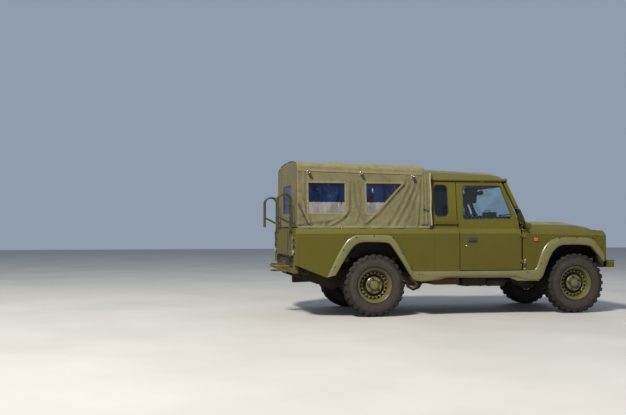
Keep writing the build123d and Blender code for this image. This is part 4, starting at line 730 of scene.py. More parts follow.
# Dashboard: a steel carcass with a padded black plastic top and round dials before the driver.
black_plastic = metal_finish("black_plastic", (0.014, 0.014, 0.015, 1), (0.024, 0.024, 0.025, 1),
                             rough=(0.42, 0.62), grain=(170.0, 0.35), dust=0.2, dust_top=1.6)
rounded("dashboard", 14 * mm, black_plastic)
dial_face = metal_finish("dial_face", (0.55, 0.56, 0.54, 1), (0.4, 0.41, 0.4, 1), rough=(0.25, 0.4))
bm = bmesh.new()
faces = bmesh.new()
for place_y, place_z, size in ((0.46, 1.13, 0.042), (0.35, 1.13, 0.042), (0.545, 1.145, 0.024),
                               (0.265, 1.145, 0.024)):
    place = (0.7812, place_y, place_z)
    turned(bm, [(size, 0.0), (size, 0.008), (size - 0.004, 0.01), (size - 0.005, 0.004)], place,
           (-1, 0, 0), 36)
    turned(faces, [(size - 0.005, 0.003), (0.0, 0.003)], place, (-1, 0, 0), 36)
    needle = Vector(place) + Vector((-0.0045, 0, 0))
    turned(bm, [(0.004, 0.0), (0.004, 0.002), (0.0, 0.002)], needle, (-1, 0, 0), 12)
    swept(bm, [needle, needle + Vector((0, size * 0.55, size * 0.45))], 0.0011, 6)
made("dial_rims", bm, black_plastic)
made("dial_faces", faces, dial_face)

# Seats: foam cushions and squabs in worn dark brown cloth, sewn in channels with a piped edge.
# Each is swollen from a slightly smaller shape by its stuffing, and stands on its seat box.
seat_back_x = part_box("seats")[1].x - 0.435
seat_low_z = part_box("seats")[0].z
seat_y = 0.455


def threads(tree, where, scale, uneven, way):
    """Fine even lines in one direction."""
    sockets = {"Vector": where, "Scale": scale, "Distortion": uneven}
    return put(tree, "TexWave", sockets, bands_direction=way).outputs[0]


def seat_cloth():
    """Dark brown woven cloth, rubbed paler on its crowns, with a fine weave and some dust."""
    material, tree, shader, where = new_material("seat_cloth")
    tone = ranged(tree, cloud(tree, where, 6.0, 6.0), 0.3, 0.7)
    base = mixed(tree, tone, (0.05, 0.032, 0.02, 1), (0.03, 0.021, 0.016, 1))
    rubbed = ranged(tree, cloud(tree, where, 19.0, 7.0, 0.7), 0.5, 0.78, 0.0, 0.45)
    base = mixed(tree, rubbed, base, (0.105, 0.078, 0.054, 1))
    weave = worked(tree, "MULTIPLY", threads(tree, where, 300.0, 0.5, "X"),
                   threads(tree, where, 300.0, 0.5, "DIAGONAL"))
    fill(tree, shader, {"Base Color": base, "Roughness": 0.88, "Sheen Weight": 0.35,
                        "Normal": relief(tree, weave, 0.35, 0.0008)})
    return material


brown_cloth = seat_cloth()


def stuffed(name, outline, half_width, cap, channels):
    """A cushion from its side outline: closed, swollen by its stuffing, then sewn in channels."""
    bm = bmesh.new()
    rings = []
    for across in (-half_width + 0.012, half_width - 0.012):
        rings.append([bm.verts.new((x, across, z)) for x, z in outline])
    bm.faces.new(rings[0])
    bm.faces.new(rings[1][::-1])
    for i in range(len(outline)):
        j = (i + 1) % len(outline)
        bm.faces.new((rings[0][i], rings[0][j], rings[1][j], rings[1][i]))
    bmesh.ops.recalc_face_normals(bm, faces=bm.faces)
    mesh = bpy.data.meshes.new(name)
    bm.to_mesh(mesh)
    bm.free()
    work = bpy.data.objects.new(name, mesh)
    bpy.context.scene.collection.objects.link(work)
    bevel = work.modifiers.new("corners", "BEVEL")
    bevel.width = 0.022
    bevel.segments = 3
    remesh = work.modifiers.new("even", "REMESH")
    remesh.mode = "VOXEL"
    remesh.voxel_size = 0.009
    graph = bpy.context.evaluated_depsgraph_get()
    even = bpy.data.meshes.new_from_object(work.evaluated_get(graph))
    work.modifiers.clear()
    work.data = even
    before = [v.co.copy() for v in even.vertices]
    last_step = 20
    cloth = work.modifiers.new("stuffing", "CLOTH")
    cloth.settings.use_pressure = True
    cloth.settings.uniform_pressure_force = 4.0
    cloth.settings.effector_weights.gravity = 0.0
    cloth.settings.quality = 5
    cloth.point_cache.frame_start = 1
    cloth.point_cache.frame_end = last_step
    for step in range(1, last_step + 1):
        bpy.context.scene.frame_set(step)
    graph = bpy.context.evaluated_depsgraph_get()
    blown = bpy.data.meshes.new_from_object(work.evaluated_get(graph))
    work.modifiers.clear()
    for vert, old, new in zip(even.vertices, before, blown.vertices):
        move = new.co - old
        if move.length > cap:
            move = move.normalized() * cap
        vert.co = old + move
    bpy.context.scene.frame_set(1)
    bm = bmesh.new()
    bm.from_mesh(even)
    bmesh.ops.smooth_vert(bm, verts=bm.verts, factor=0.5, use_axis_x=True, use_axis_y=True,
                          use_axis_z=True)
    bm.normal_update()
    for vert in bm.verts:
        vert.co = vert.co - vert.normal * channels(vert.co, vert.normal)
    bmesh.ops.smooth_vert(bm, verts=bm.verts, factor=0.3, use_axis_x=True, use_axis_y=True,
                          use_axis_z=True)
    bpy.data.objects.remove(work)
    return bm


def groove(distance, width, depth):
    """The depth of a sewn channel at a distance from its middle."""
    return depth * math.exp(-((distance / width) ** 2))


cushion_outline = [(seat_back_x + 0.014, seat_low_z + 0.008),
                   (seat_back_x + 0.424, seat_low_z + 0.008),
                   (seat_back_x + 0.42, seat_low_z + 0.1),
                   (seat_back_x + 0.014, seat_low_z + 0.076)]
squab_outline = [(seat_back_x - 0.016, seat_low_z + 0.01), (seat_back_x - 0.014, seat_low_z + 0.15),
                 (seat_back_x - 0.116, seat_low_z + 0.622),
                 (seat_back_x - 0.18, seat_low_z + 0.606),
                 (seat_back_x - 0.1, seat_low_z + 0.01)]


def cushion_seams(point, normal):
    """How deep the cushion is drawn in by its seams."""
    depth = groove(abs(abs(point.y) - 0.15), 0.006, 0.006) if normal.z > 0.3 else 0.0
    if abs(point.y) < 0.15 and normal.z > 0.3:
        depth += sum(groove(point.x - (seat_back_x + 0.09 + 0.085 * k), 0.007, 0.007)
                     for k in range(4))
    return depth


def squab_seams(point, normal):
    """How deep the squab is drawn in by its seams."""
    depth = 0.0
    if normal.x > 0.2:
        depth = groove(abs(abs(point.y) - 0.145), 0.006, 0.006)
        if abs(point.y) < 0.145:
            depth += sum(groove(point.z - (seat_low_z + 0.2 + 0.105 * k), 0.007, 0.007)
                         for k in range(4))
    return depth


for part, outline, seams in (("cushion", cushion_outline, cushion_seams),
                             ("squab", squab_outline, squab_seams)):
    shape = stuffed("seat_" + part, outline, 0.214, 0.016, seams)
    for hand, sign in hands:
        bm = shape.copy()
        bmesh.ops.translate(bm, vec=(0, sign * seat_y, 0), verts=bm.verts)
        pad = made("seat_" + part + "_" + hand, bm, brown_cloth, smooth=80)
        if part == "cushion" and hand == "left":
            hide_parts("seats")
    shape.free()

bm = bmesh.new()
for sign in (1, -1):
    for edge_y in (sign * seat_y - 0.205, sign * seat_y + 0.205):
        front = [(seat_back_x + 0.02, edge_y, seat_low_z + 0.085),
                 (seat_back_x + 0.41, edge_y, seat_low_z + 0.108)]
        swept(bm, front, 0.0045, 8)
made("seat_piping", bm, black_plastic)

# Steering wheel and levers: a black moulded rim, and steel levers with black knobs on the tunnel.
dressed("steering_wheel", black_plastic)
bm = bmesh.new()
for place, tip in (((0.6, 0.02, 0.7), (0.64, 0.02, 1.01)), ((0.5, -0.06, 0.7), (0.52, -0.07, 0.9)),
                   ((0.43, 0.12, 0.7), (0.52, 0.12, 0.86))):
    swept(bm, [place, Vector(place).lerp(Vector(tip), 0.5) + Vector((0.012, 0, 0)), tip], 0.007, 10)
    turned(bm, [(0.0, 0.0), (0.013, 0.002), (0.021, 0.016), (0.021, 0.028), (0.012, 0.042),
                (0.0, 0.045)], Vector(tip) - Vector((0, 0, 0.01)), (0.05, 0, 1), 20)
made("gear_levers", bm, black_plastic)
bm = bmesh.new()
for pedal_y in (0.36, 0.455, 0.56):
    swept(bm, [(0.995, pedal_y, 0.93), (0.955, pedal_y, 0.84), (0.93, pedal_y, 0.77)], 0.008, 8)
    bar(bm, (0.908, pedal_y - 0.028, 0.735), (0.924, pedal_y + 0.028, 0.795), 0.004)
made("pedals", bm, spring_paint)

# Cab shell: pressed steel side, back, roof and windscreen frame, spot-welded and painted olive.
for node in ("cab_sides", "cab_back", "windscreen_frame"):
    rounded(node, 3 * mm, olive_paint)
rounded("roof", 6 * mm, olive_paint)

# Glass: flat toughened panes with a green tint and a film of dust, each held in a black rubber.


def window_glass(name, tint, dirt):
    """Clear tinted glass with a thin, uneven film of dirt."""
    material, tree, shader, where = new_material(name)
    film = ranged(tree, cloud(tree, where, 8.0, 8.0, 0.7, 0.8), 0.35, 0.8)
    fill(tree, shader, {"Base Color": mixed(tree, film, tint, shade(tint, 0.93)),
                        "Roughness": ranged(tree, film, 0.0, 1.0, 0.02, dirt),
                        "Transmission Weight": 1.0, "IOR": 1.3, "Specular IOR Level": 0.8})
    return material


pane_glass = window_glass("pane_glass", (0.6, 0.76, 0.8, 1), 0.1)
for node in ("door_glass_left", "door_glass_right"):
    dressed(node, pane_glass)
# The windscreen is clear; the small panes behind the doors and at the back are painted dark, as the
# shade of the cab behind them.
cab_glass = window_glass("cab_glass", (0.8, 0.9, 0.93, 1), 0.1)
tree, where, colour = opened(cab_glass)
overlaid(tree, colour, ranged(tree, part_of(tree, where, 0), 0.4, 0.2), (0.018, 0.036, 0.036, 1))
dressed("cab_glass", cab_glass)
seal_rubber = metal_finish("seal_rubber", (0.01, 0.01, 0.011, 1), (0.02, 0.02, 0.02, 1),
                           rough=(0.45, 0.65), grain=(150.0, 0.2), dust=0.25, dust_top=2.2)


def window_outlines(node, least):
    """The outer edge of each pane of a CAD piece, as loops of places, from its large faces."""
    bm = bmesh.new()
    bm.from_mesh(nodes[node].data)
    bmesh.ops.remove_doubles(bm, verts=bm.verts, dist=2e-5)
    bmesh.ops.dissolve_limit(bm, angle_limit=math.radians(1.0), verts=bm.verts, edges=bm.edges)
    loops = []
    for face in bm.faces:
        middle = face.calc_center_median()
        outward = Vector((middle.x - 0.35, middle.y, 0.15))
        if face.calc_area() > least and face.normal.dot(outward) > 0:
            loops.append(([v.co.copy() for v in face.verts], face.normal.copy()))
    bm.free()
    return loops


def rubber_round(bm, loop, normal, radius, inset):
    """A rubber section laid round the edge of a pane."""
    middle = sum(loop, Vector()) / len(loop)
    points = []
    count = len(loop)
    for i in range(count):
        before = (loop[i] - loop[i - 1]).normalized()
        after = (loop[(i + 1) % count] - loop[i]).normalized()
        inward = normal.cross(before + after).normalized()
        if inward.dot(middle - loop[i]) < 0:
            inward = -inward
        points.append(loop[i] + inward * inset + normal * 0.001)
    fuller = []
    for i, point in enumerate(points):
        following = points[(i + 1) % count]
        steps = max(1, int((following - point).length / 0.04))
        fuller += [point.lerp(following, k / steps) for k in range(steps)]
    swept(bm, fuller, radius, 10, closed=True)


for node, body, name in (("cab_glass", "chassis", "cab"),
                         ("door_glass_left", "door_left", "door_left"),
                         ("door_glass_right", "door_right", "door_right")):
    bm = bmesh.new()
    for loop, normal in window_outlines(node, 0.02):
        rubber_round(bm, loop, normal, 0.0085, 0.004)
    made("window_rubber_" + name, bm, seal_rubber, body, 60)

# Rain gutters: a rolled steel lip along each side of the roof, with the dark sealing seam under
# it.
bm = bmesh.new()
for sign in (1, -1):
    edge = sign * 0.7545
    line = [(-0.272, edge, 1.77), (0.2, edge, 1.77), (0.66, edge, 1.77), (0.735, edge, 1.766)]
    swept(bm, line, 0.0045, 8)
made("roof_gutters", bm, olive_paint)

# Wipers: two black arms with rubber blades, parked low on the windscreen.
pane = max(window_outlines("cab_glass", 0.1), key=lambda found: found[1].x)
pane_middle = sum(pane[0], Vector()) / len(pane[0])
pane_normal = pane[1].normalized()
pane_up = (Vector((0, 0, 1)) - pane_normal * pane_normal.z).normalized()
pane_low = min((p - pane_middle).dot(pane_up) for p in pane[0])


def on_pane(y, up, proud):
    """A place on the windscreen, up from its lower edge and out from its face."""
    across = Vector((0, y - pane_middle.y, 0))
    return pane_middle + across + pane_up * (pane_low + up) + pane_normal * proud


bm = bmesh.new()
for pivot_y, tip_y in ((0.52, 0.02), (-0.02, -0.5)):
    pivot = on_pane(pivot_y, -0.035, 0.03)
    turned(bm, [(0.0, -0.03), (0.011, -0.03), (0.011, 0.0), (0.016, 0.002), (0.014, 0.01),
                (0.0, 0.012)], pivot, pane_normal, 16)
    elbow = on_pane(pivot_y - 0.05, 0.03, 0.026)
    swept(bm, [pivot, elbow, on_pane((pivot_y + tip_y) / 2, 0.052, 0.018)], 0.0045, 8)
    swept(bm, [on_pane(pivot_y - 0.06, 0.046, 0.008), on_pane(tip_y, 0.056, 0.008)], 0.0055, 6)
    swept(bm, [on_pane(pivot_y - 0.1, 0.048, 0.014), on_pane(tip_y + 0.05, 0.055, 0.014)], 0.003, 6)
made("wipers", bm, black_plastic)

# Inner mirror on the windscreen's top edge, and two padded sun visors: the driver's is folded
# down.
visor_board = metal_finish("visor_board", (0.06, 0.032, 0.016, 1), (0.036, 0.02, 0.012, 1),
                           rough=(0.6, 0.8), grain=(200.0, 0.4), dust=0.1, shine=0.2)
bm = bmesh.new()
bar(bm, (0.7, -0.1, 1.615), (0.716, 0.1, 1.67), 0.006, 3)
swept(bm, [(0.708, 0.0, 1.66), (0.745, 0.0, 1.715)], 0.006, 8)
made("inner_mirror", bm, black_plastic)
bm = bmesh.new()
bar(bm, (0.6, -0.58, 1.716), (0.705, -0.2, 1.734), 0.008, 3)
panel(bm, [(0.722, 0.16, 1.728), (0.7, 0.16, 1.51), (0.7, 0.64, 1.49), (0.722, 0.64, 1.728)], 0.018,
      0.008, 3)
for y in (0.2, 0.6, -0.2, -0.56):
    swept(bm, [(0.712, y - 0.02, 1.732), (0.712, y + 0.02, 1.732)], 0.006, 8)
made("sun_visors", bm, visor_board)

# Cab equipment: a hooded instrument case, a radio set with knobs and handle, and a grab rail on
# the dash, with a second set in a rack between the seats. All are painted steel, bolted down.
set_paint = metal_finish("set_paint", (0.03, 0.034, 0.02, 1), (0.02, 0.022, 0.014, 1),
                         rough=(0.4, 0.6), dust=0.2, dust_top=1.8)
bm = bmesh.new()
bar(bm, (0.8, 0.18, 1.19), (0.925, 0.64, 1.29), 0.02, 4)
bar(bm, (0.79, 0.23, 1.27), (0.88, 0.59, 1.325), 0.018, 4)
made("instrument_case", bm, black_plastic)
bm = bmesh.new()
for x0, y0, z0, x1, y1, z1 in ((0.785, -0.16, 1.2, 0.89, 0.12, 1.37),
                               (0.33, -0.14, 0.86, 0.56, 0.14, 1.18),
                               (0.35, -0.12, 1.185, 0.54, 0.12, 1.33),
                               (0.8, -0.6, 1.195, 0.9, -0.33, 1.3)):
    bar(bm, (x0, y0, z0), (x1, y1, z1), 0.006, 3)
    for k in range(4):
        knob_y = y0 + (y1 - y0) * (0.2 + 0.2 * k)
        turned(bm, [(0.013, 0.0), (0.012, 0.014), (0.0, 0.015)],
               (x0, knob_y, z0 + (z1 - z0) * 0.35), (-1, 0, 0), 16)
    for k in range(6):
        bar(bm, (x0 - 0.002, y0 + 0.02, z0 + (z1 - z0) * (0.55 + 0.06 * k)),
            (x0 + 0.004, y1 - 0.02, z0 + (z1 - z0) * (0.575 + 0.06 * k)), 0.0008, 1)
    top = z1 + 0.022
    swept(bm, [(x0 + 0.02, y0 + 0.05, z1), (x0 + 0.02, y0 + 0.055, top),
               (x0 + 0.02, y1 - 0.055, top), (x0 + 0.02, y1 - 0.05, z1)], 0.005, 8)
swept(bm, [(0.86, -0.3, 1.195), (0.845, -0.3, 1.235), (0.845, -0.21, 1.235), (0.86, -0.21, 1.195)],
      0.008, 8)
made("radio_sets", bm, set_paint)

# Doors: pressed steel skins on a folded frame, hung on two outside hinges at the front.
body_side = 0.895


def squarish(count, power):
    """Places round a square with full corners, from -1 to 1 across and up."""
    found = []
    for k in range(count):
        turn = 2 * math.pi * k / count
        found.append([math.copysign(abs(c) ** power, c) for c in (math.cos(turn), math.sin(turn))])
    return found


for hand, sign in hands:
    rounded("door_" + hand, 3 * mm, olive_paint)
    body = "door_" + hand
    side = sign * body_side
    # Handle: a dark pressed dish with a paddle whose lower lip is worn bright, and the lock below.
    bm = bmesh.new()
    dish_y = min(side - sign * 0.002, side + sign * 0.006)
    corners = [(0.229 + 0.068 * across, dish_y, 0.985 + 0.031 * up)
               for across, up in squarish(28, 0.45)]
    panel(bm, corners[::-1], 0.008, 0.0025, 3)
    made("handle_dish_" + hand, bm, black_plastic, body)
    bm = bmesh.new()
    side_bar(bm, sign, (0.176, body_side + 0.004, 0.964), (0.282, body_side + 0.013, 0.986),
             0.0035, 3)
    handle_paint = metal_finish("handle_paint_" + hand, (0.03, 0.034, 0.034, 1),
                                (0.018, 0.02, 0.02, 1), rough=(0.3, 0.5), metal=0.1)
    made("handle_paddle_" + hand, bm, handle_paint, body)
    bm = bmesh.new()
    turned(bm, [(0.0165, -0.001), (0.0165, 0.003), (0.014, 0.005), (0.0085, 0.005)],
           (0.1535, side, 0.908), (0, sign, 0), 28)
    made("door_lock_" + hand, bm, bright_steel, body)
    bm = bmesh.new()
    turned(bm, [(0.009, 0.001), (0.009, 0.0062), (0.007, 0.007), (0.0, 0.007)],
           (0.1535, side, 0.908), (0, sign, 0), 20)
    made("lock_barrel_" + hand, bm, black_plastic, body)
    # Hinge bolts: bright heads on the door leaf of each hinge.
    bm = bmesh.new()
    for heights, radius, height in (((0.655, 0.707), 0.0055, 0.005),
                                    ((0.996, 1.048), 0.0045, 0.004)):
        places = [Vector((0.902, sign * 0.8965, z)) for z in heights]
        bolt_heads(bm, places, (0, sign, 0), radius, height)
    made("hinge_bolts_" + hand, bm, bright_steel, body)
    bm = bmesh.new()
    for leaf_z in (0.64, 0.986):
        side_bar(bm, sign, (0.888, 0.8952, leaf_z), (0.9165, 0.8985, leaf_z + 0.078), 0.001)
    made("hinge_leaves_" + hand, bm, olive_paint, body)
    # The fixed leaves are screwed to the pillar, over dark packing, with one bright screw below.
    bm = bmesh.new()
    side_bar(bm, sign, (0.945, 0.8952, 0.664), (0.979, 0.9015, 0.738), 0.003, 3)
    side_bar(bm, sign, (0.945, 0.8952, 1.004), (0.97, 0.9015, 1.056), 0.003, 3)
    made("fixed_leaves_" + hand, bm, flare_paint)
    bm = bmesh.new()
    side_bar(bm, sign, (0.942, 0.8952, 0.634), (0.976, 0.9015, 0.662))
    made("hinge_packing_" + hand, bm, black_plastic)
    bm = bmesh.new()
    bolt_heads(bm, [Vector((0.955, sign * 0.8955, 0.606)), Vector((0.962, sign * 0.9015, 0.718)),
                    Vector((0.962, sign * 0.9015, 0.684))], (0, sign, 0), 0.0075, 0.006)
    made("pillar_screws_" + hand, bm, bright_steel)
    # Window winder inside the door, on its round base.
    bm = bmesh.new()
    turned(bm, [(0.0, 0.0), (0.026, 0.0), (0.026, 0.012), (0.018, 0.02), (0.0, 0.02)],
           (0.52, sign * 0.845, 0.93), (0, -sign, 0), 24)
    swept(bm, [(0.52, sign * 0.829, 0.93), (0.5, sign * 0.822, 0.99), (0.495, sign * 0.8, 1.0)],
          0.006, 8)
    made("window_winder_" + hand, bm, black_plastic, body)

# Mirrors: dark moulded shells on bent steel arms, leaning back with the pillar, bright glass
# facing rearwards.
mirror_shell = metal_finish("mirror_shell", (0.02, 0.016, 0.014, 1), (0.013, 0.011, 0.01, 1),
                            rough=(0.35, 0.55), grain=(140.0, 0.25), dust=0.2, dust_top=1.9)
mirror_glass = metal_finish("mirror_glass", (0.3, 0.31, 0.33, 1), (0.24, 0.25, 0.27, 1),
                            rough=(0.04, 0.12), metal=1.0)
for hand, sign in hands:
    body = "door_" + hand
    bm = bmesh.new()
    lean = Vector((-0.42, 0.0, 0.905)).normalized()
    out = Vector((0.1, sign, 0.0)).normalized()
    face = out.cross(lean) * sign
    back = face * (1 if face.x > 0 else -1)
    middle = Vector((0.872, sign * 0.948, 1.3))
    rings = []
    for depth, scale in ((0.024, 0.3), (0.022, 0.62), (0.014, 0.88), (0.0, 1.0), (-0.01, 1.0),
                         (-0.012, 0.95), (-0.008, 0.93)):
        ring = []
        for across, up in squarish(40, 0.5):
            on_face = out * (0.062 * across * scale) + lean * (0.112 * up * (0.4 + 0.6 * scale))
            ring.append(bm.verts.new(middle + on_face + back * depth))
        rings.append(ring)
    skinned(bm, rings)
    bm.faces.new(rings[0])
    arms = (((0.905, 0.852, 1.146), (0.905, 0.9, 1.15), (0.905, 0.925, 1.158), -0.105, 0.0085),
            ((0.862, 0.8125, 1.42), (0.86, 0.87, 1.424), (0.85, 0.915, 1.422), 0.1, 0.0065))
    for *bends, end, radius in arms:
        arm = [(x, sign * y, z) for x, y, z in bends] + [middle + lean * end + back * 0.012]
        swept(bm, arm, radius, 10)
    edge = [v.co.copy() for v in rings[-1]]
    shell = made("mirror_shell_" + hand, bm, mirror_shell, body, 40)
    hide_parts("mirror_" + hand)
    bm = bmesh.new()
    bm.faces.new([bm.verts.new(place + back * 0.001) for place in edge])
    bm.faces.new([bm.verts.new(place + back * 0.004) for place in edge][::-1])
    made("mirror_glass_" + hand, bm, mirror_glass, body)

# Wings, front panel and bonnet: pressed steel skins in body paint, screwed to each other.
# Their nose droops a little over the headlamps.
wing_skins = rounded("wings", 3 * mm, olive_paint)
for vert in wing_skins.data.vertices:
    if vert.co.x > 2.03 and vert.co.z < 0.715:
        vert.co.z = 0.715
for skin in (wing_skins, rounded("front_panel", 3 * mm, olive_paint),
             rounded("bonnet", 5 * mm, olive_paint)):
    for vert in skin.data.vertices:
        if vert.co.x > 2.0 and vert.co.z > 1.02:
            vert.co.z -= 0.2 * (vert.co.x - 2.0) * min(1.0, (vert.co.z - 1.02) / 0.05)
bm = bmesh.new()
for sign in (1, -1):
    low, high = sorted((sign * 0.672, sign * 0.868))
    panel(bm, [(2.098, low, 1.1095), (2.1365, low, 1.068), (2.1365, high, 1.068),
               (2.098, high, 1.1095)], 0.003)
made("nose_fillers", bm, olive_paint)
# Radiator: a black core of thin upright fins between two tanks, behind the grille.
bm = bmesh.new()
for z in (0.64, 0.985):
    bar(bm, (2.03, -0.42, z), (2.085, 0.42, z + 0.045), 0.008, 3)
bar(bm, (2.045, -0.41, 0.68), (2.065, 0.41, 0.99), 0.001)
for k in range(54):
    bar(bm, (2.064, -0.405 + 0.015 * k, 0.684), (2.07, -0.401 + 0.015 * k, 0.986), 0.0004, 1)
made("radiator", bm, spring_paint)
# Black moulded liners close the wheel houses from the wings' front legs inwards, down to the
# bumper.
bm = bmesh.new()
for sign in (1, -1):
    low, high = sorted((sign * 0.865, sign * 0.712))
    side_bar(bm, sign, (2.098, 0.712, 0.622), (2.104, 0.865, 0.76), 0.001)
    panel(bm, [(2.03, low, 0.76), (2.098, low, 0.655), (2.098, high, 0.655), (2.03, high, 0.76)],
          0.003)
    near = min(sign * 0.862, sign * 0.866)
    panel(bm, [(2.036, near, 0.712), (2.112, near, 0.63), (2.112, near, 0.745),
               (2.036, near, 0.745)], 0.003)
made("front_liners", bm, spring_paint)

# Headlamps: a chrome bowl behind a ribbed round glass, in a painted ring held by three screws.
chrome = metal_finish("lamp_chrome", (0.8, 0.8, 0.8, 1), (0.62, 0.62, 0.6, 1), rough=(0.05, 0.18),
                      metal=1.0)
lens_glass = window_glass("lens_glass", (0.93, 0.95, 0.95, 1), 0.12)
bulbs = bmesh.new()
bowls = bmesh.new()
lenses = bmesh.new()
rings = bmesh.new()
for lamp_y in (-0.6, 0.6):
    place = Vector((2.142, lamp_y, 0.905))
    bowl = [(0.083, 0.004), (0.078, -0.012), (0.064, -0.034), (0.042, -0.052), (0.016, -0.06),
            (0.0, -0.06)]
    turned(bowls, bowl, place, (1, 0, 0), 48)
    turned(bulbs, [(0.0, -0.058), (0.009, -0.056), (0.009, -0.03), (0.006, -0.022), (0.0, -0.02)],
           place, (1, 0, 0), 20)
    turned(lenses, [(0.082, 0.002), (0.08, 0.006), (0.066, 0.01), (0.04, 0.0128), (0.0, 0.0135)],
           place, (1, 0, 0), 48)
    for rib in range(-6, 7):
        aside = rib * 0.0115
        high = math.sqrt(0.072 ** 2 - aside ** 2)
        arch = [(0.0095, -high), (0.0135 - abs(rib) * 0.0003, 0.0), (0.0095, high)]
        swept(lenses, [place + Vector((out, aside, up)) for out, up in arch], 0.0011, 6)
    turned(rings, [(0.08, 0.008), (0.082, 0.0125), (0.092, 0.0115), (0.098, 0.004),
                   (0.098, -0.002)], place, (1, 0, 0), 48)
    bolt_heads(rings, ring_points(place + Vector((0.01, 0, 0)), (1, 0, 0), 0.088, 3, 0.4),
               (1, 0, 0), 0.0035, 0.003, 8)
lamp_bowls = made("headlamp_bowls", bowls, chrome)
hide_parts("headlamps")
made("headlamp_bulbs", bulbs, lens_glass)
made("headlamp_glasses", lenses, lens_glass)
made("headlamp_rings", rings, olive_paint)

# Small lamps: moulded lenses with fine rings, amber for turning, clear for position, on black
# rubber bases.


def lamp_plastic(name, colour, deep):
    """Moulded lens plastic with fine level ribs."""
    material, tree, shader, where = new_material(name)
    tone = ranged(tree, cloud(tree, where, 14.0), 0.35, 0.65)
    ribs = relief(tree, threads(tree, where, 55.0, 0.0, "Z"), 0.5, 0.0015)
    fill(tree, shader, {"Base Color": mixed(tree, tone, colour, deep), "Roughness": 0.16,
                        "Coat Weight": 0.6, "Normal": ribs})
    return material


amber = lamp_plastic("amber_lens", (0.62, 0.12, 0.01, 1), (0.42, 0.07, 0.008, 1))
dull_amber = lamp_plastic("dull_amber_lens", (0.16, 0.05, 0.016, 1), (0.1, 0.038, 0.016, 1))
red = lamp_plastic("red_lens", (0.078, 0.029, 0.014, 1), (0.047, 0.021, 0.012, 1))
white = lamp_plastic("white_lens", (0.24, 0.22, 0.17, 1), (0.16, 0.14, 0.11, 1))


def round_lamp(lens, base, place, axis, radius, depth):
    """A round lens on its base."""
    turned(base, [(radius + 0.003, 0.0), (radius + 0.003, depth * 0.3),
                  (radius - 0.002, depth * 0.34)], place, axis, 32)
    turned(lens, [(radius - 0.003, depth * 0.2), (radius - 0.003, depth * 0.8),
                  (radius * 0.8, depth * 0.97), (radius * 0.45, depth), (0.0, depth)],
           place, axis, 32)


ambers, whites, bases = bmesh.new(), bmesh.new(), bmesh.new()
for sign in (1, -1):
    round_lamp(ambers, bases, (2.1376, sign * 0.782, 0.96), (1, 0, 0), 0.034, 0.03)
    round_lamp(whites, bases, (2.1376, sign * 0.782, 0.85), (1, 0, 0), 0.034, 0.03)
    side_bar(bases, sign, (1.0885, 0.8953, 0.968), (1.1485, 0.8995, 1.017), 0.0015)
    side_bar(ambers, sign, (1.0915, 0.899, 0.9715), (1.1455, 0.9108, 1.0135), 0.004, 3)
small_lamps = made("amber_lamps", ambers, amber)
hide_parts("marker_lamps")
made("position_lamps", whites, white)
made("lamp_bases", bases, seal_rubber)

# Front bumper: folded steel channel, olive on its face, with a black rubber cap along the top.
rounded("front_bumper", 12 * mm, olive_paint)
bm = bmesh.new()
bar(bm, (2.215, -0.835, 0.7005), (2.311, 0.835, 0.7085), 0.0035, 3)
made("bumper_cap", bm, seal_rubber)
bm = bmesh.new()
for sign in (1, -1):
    place = Vector((2.235, sign * 0.3, 0.7))
    swept(bm, [place, place + Vector((0.0, 0, 0.03)), place + Vector((0.025, 0, 0.046)),
               place + Vector((0.05, 0, 0.03)), place + Vector((0.05, 0, 0.0))], 0.009, 10)
made("towing_eyes", bm, chassis_paint)

# Cargo bed: steel floor with ribs, folded sides, wheel boxes and headboard, welded and painted
# olive.
for node in ("bed_sides", "headboard"):
    rounded(node, 3 * mm, olive_paint)
rounded("wheel_boxes", 3 * mm, chassis_paint)
rounded("bed_floor", 2 * mm, floor_paint)
bm = bmesh.new()
for rib in range(9):
    rib_y = -0.52 + rib * 0.13
    bar(bm, (-2.06, rib_y - 0.014, 0.7761), (-0.33, rib_y + 0.014, 0.78), 0.0018)
made("floor_ribs", bm, floor_paint)

# Wheel arch flares: moulded eyebrows with a full, rounded face, held by dark screws in small
# dimples. A strip of the same section runs along the sill and joins the rear flare's foot to the
# front one's. Rows: outer edge ahead of the axle and over it, inner edge likewise, share of lip;
# in metres.
rear_rows = [(-0.643, 0.116, -0.532, 0.143, 1), (-0.421, 0.563, -0.345, 0.46, 1),
             (-0.285, 0.648, -0.257, 0.539, 1), (-0.18, 0.649, -0.166, 0.562, 1),
             (0.168, 0.649, 0.137, 0.554, 1), (0.237, 0.62, 0.198, 0.524, 1),
             (0.46, 0.226, 0.405, 0.207, 1), (0.484, 0.186, 0.447, 0.135, 0.5),
             (0.515, 0.179, 0.48, 0.082, 0), (0.58, 0.179, 0.535, 0.054, 0),
             (0.68, 0.179, 0.64, 0.05, 0), (0.78, 0.179, 0.78, 0.066, 0),
             (0.88, 0.179, 0.88, 0.112, 0)]
front_rows = [(-0.9, 0.179, -0.9, 0.112, 0), (-0.8, 0.179, -0.79, 0.066, 0),
              (-0.72, 0.179, -0.68, 0.05, 0), (-0.65, 0.18, -0.575, 0.052, 0),
              (-0.612, 0.196, -0.52, 0.085, 0.5), (-0.59, 0.235, -0.48, 0.19, 1),
              (-0.516, 0.45, -0.393, 0.396, 1), (-0.411, 0.572, -0.299, 0.492, 1),
              (-0.277, 0.619, -0.222, 0.518, 1), (0.161, 0.613, 0.16, 0.514, 1),
              (0.256, 0.57, 0.217, 0.472, 1), (0.381, 0.392, 0.369, 0.286, 1)]
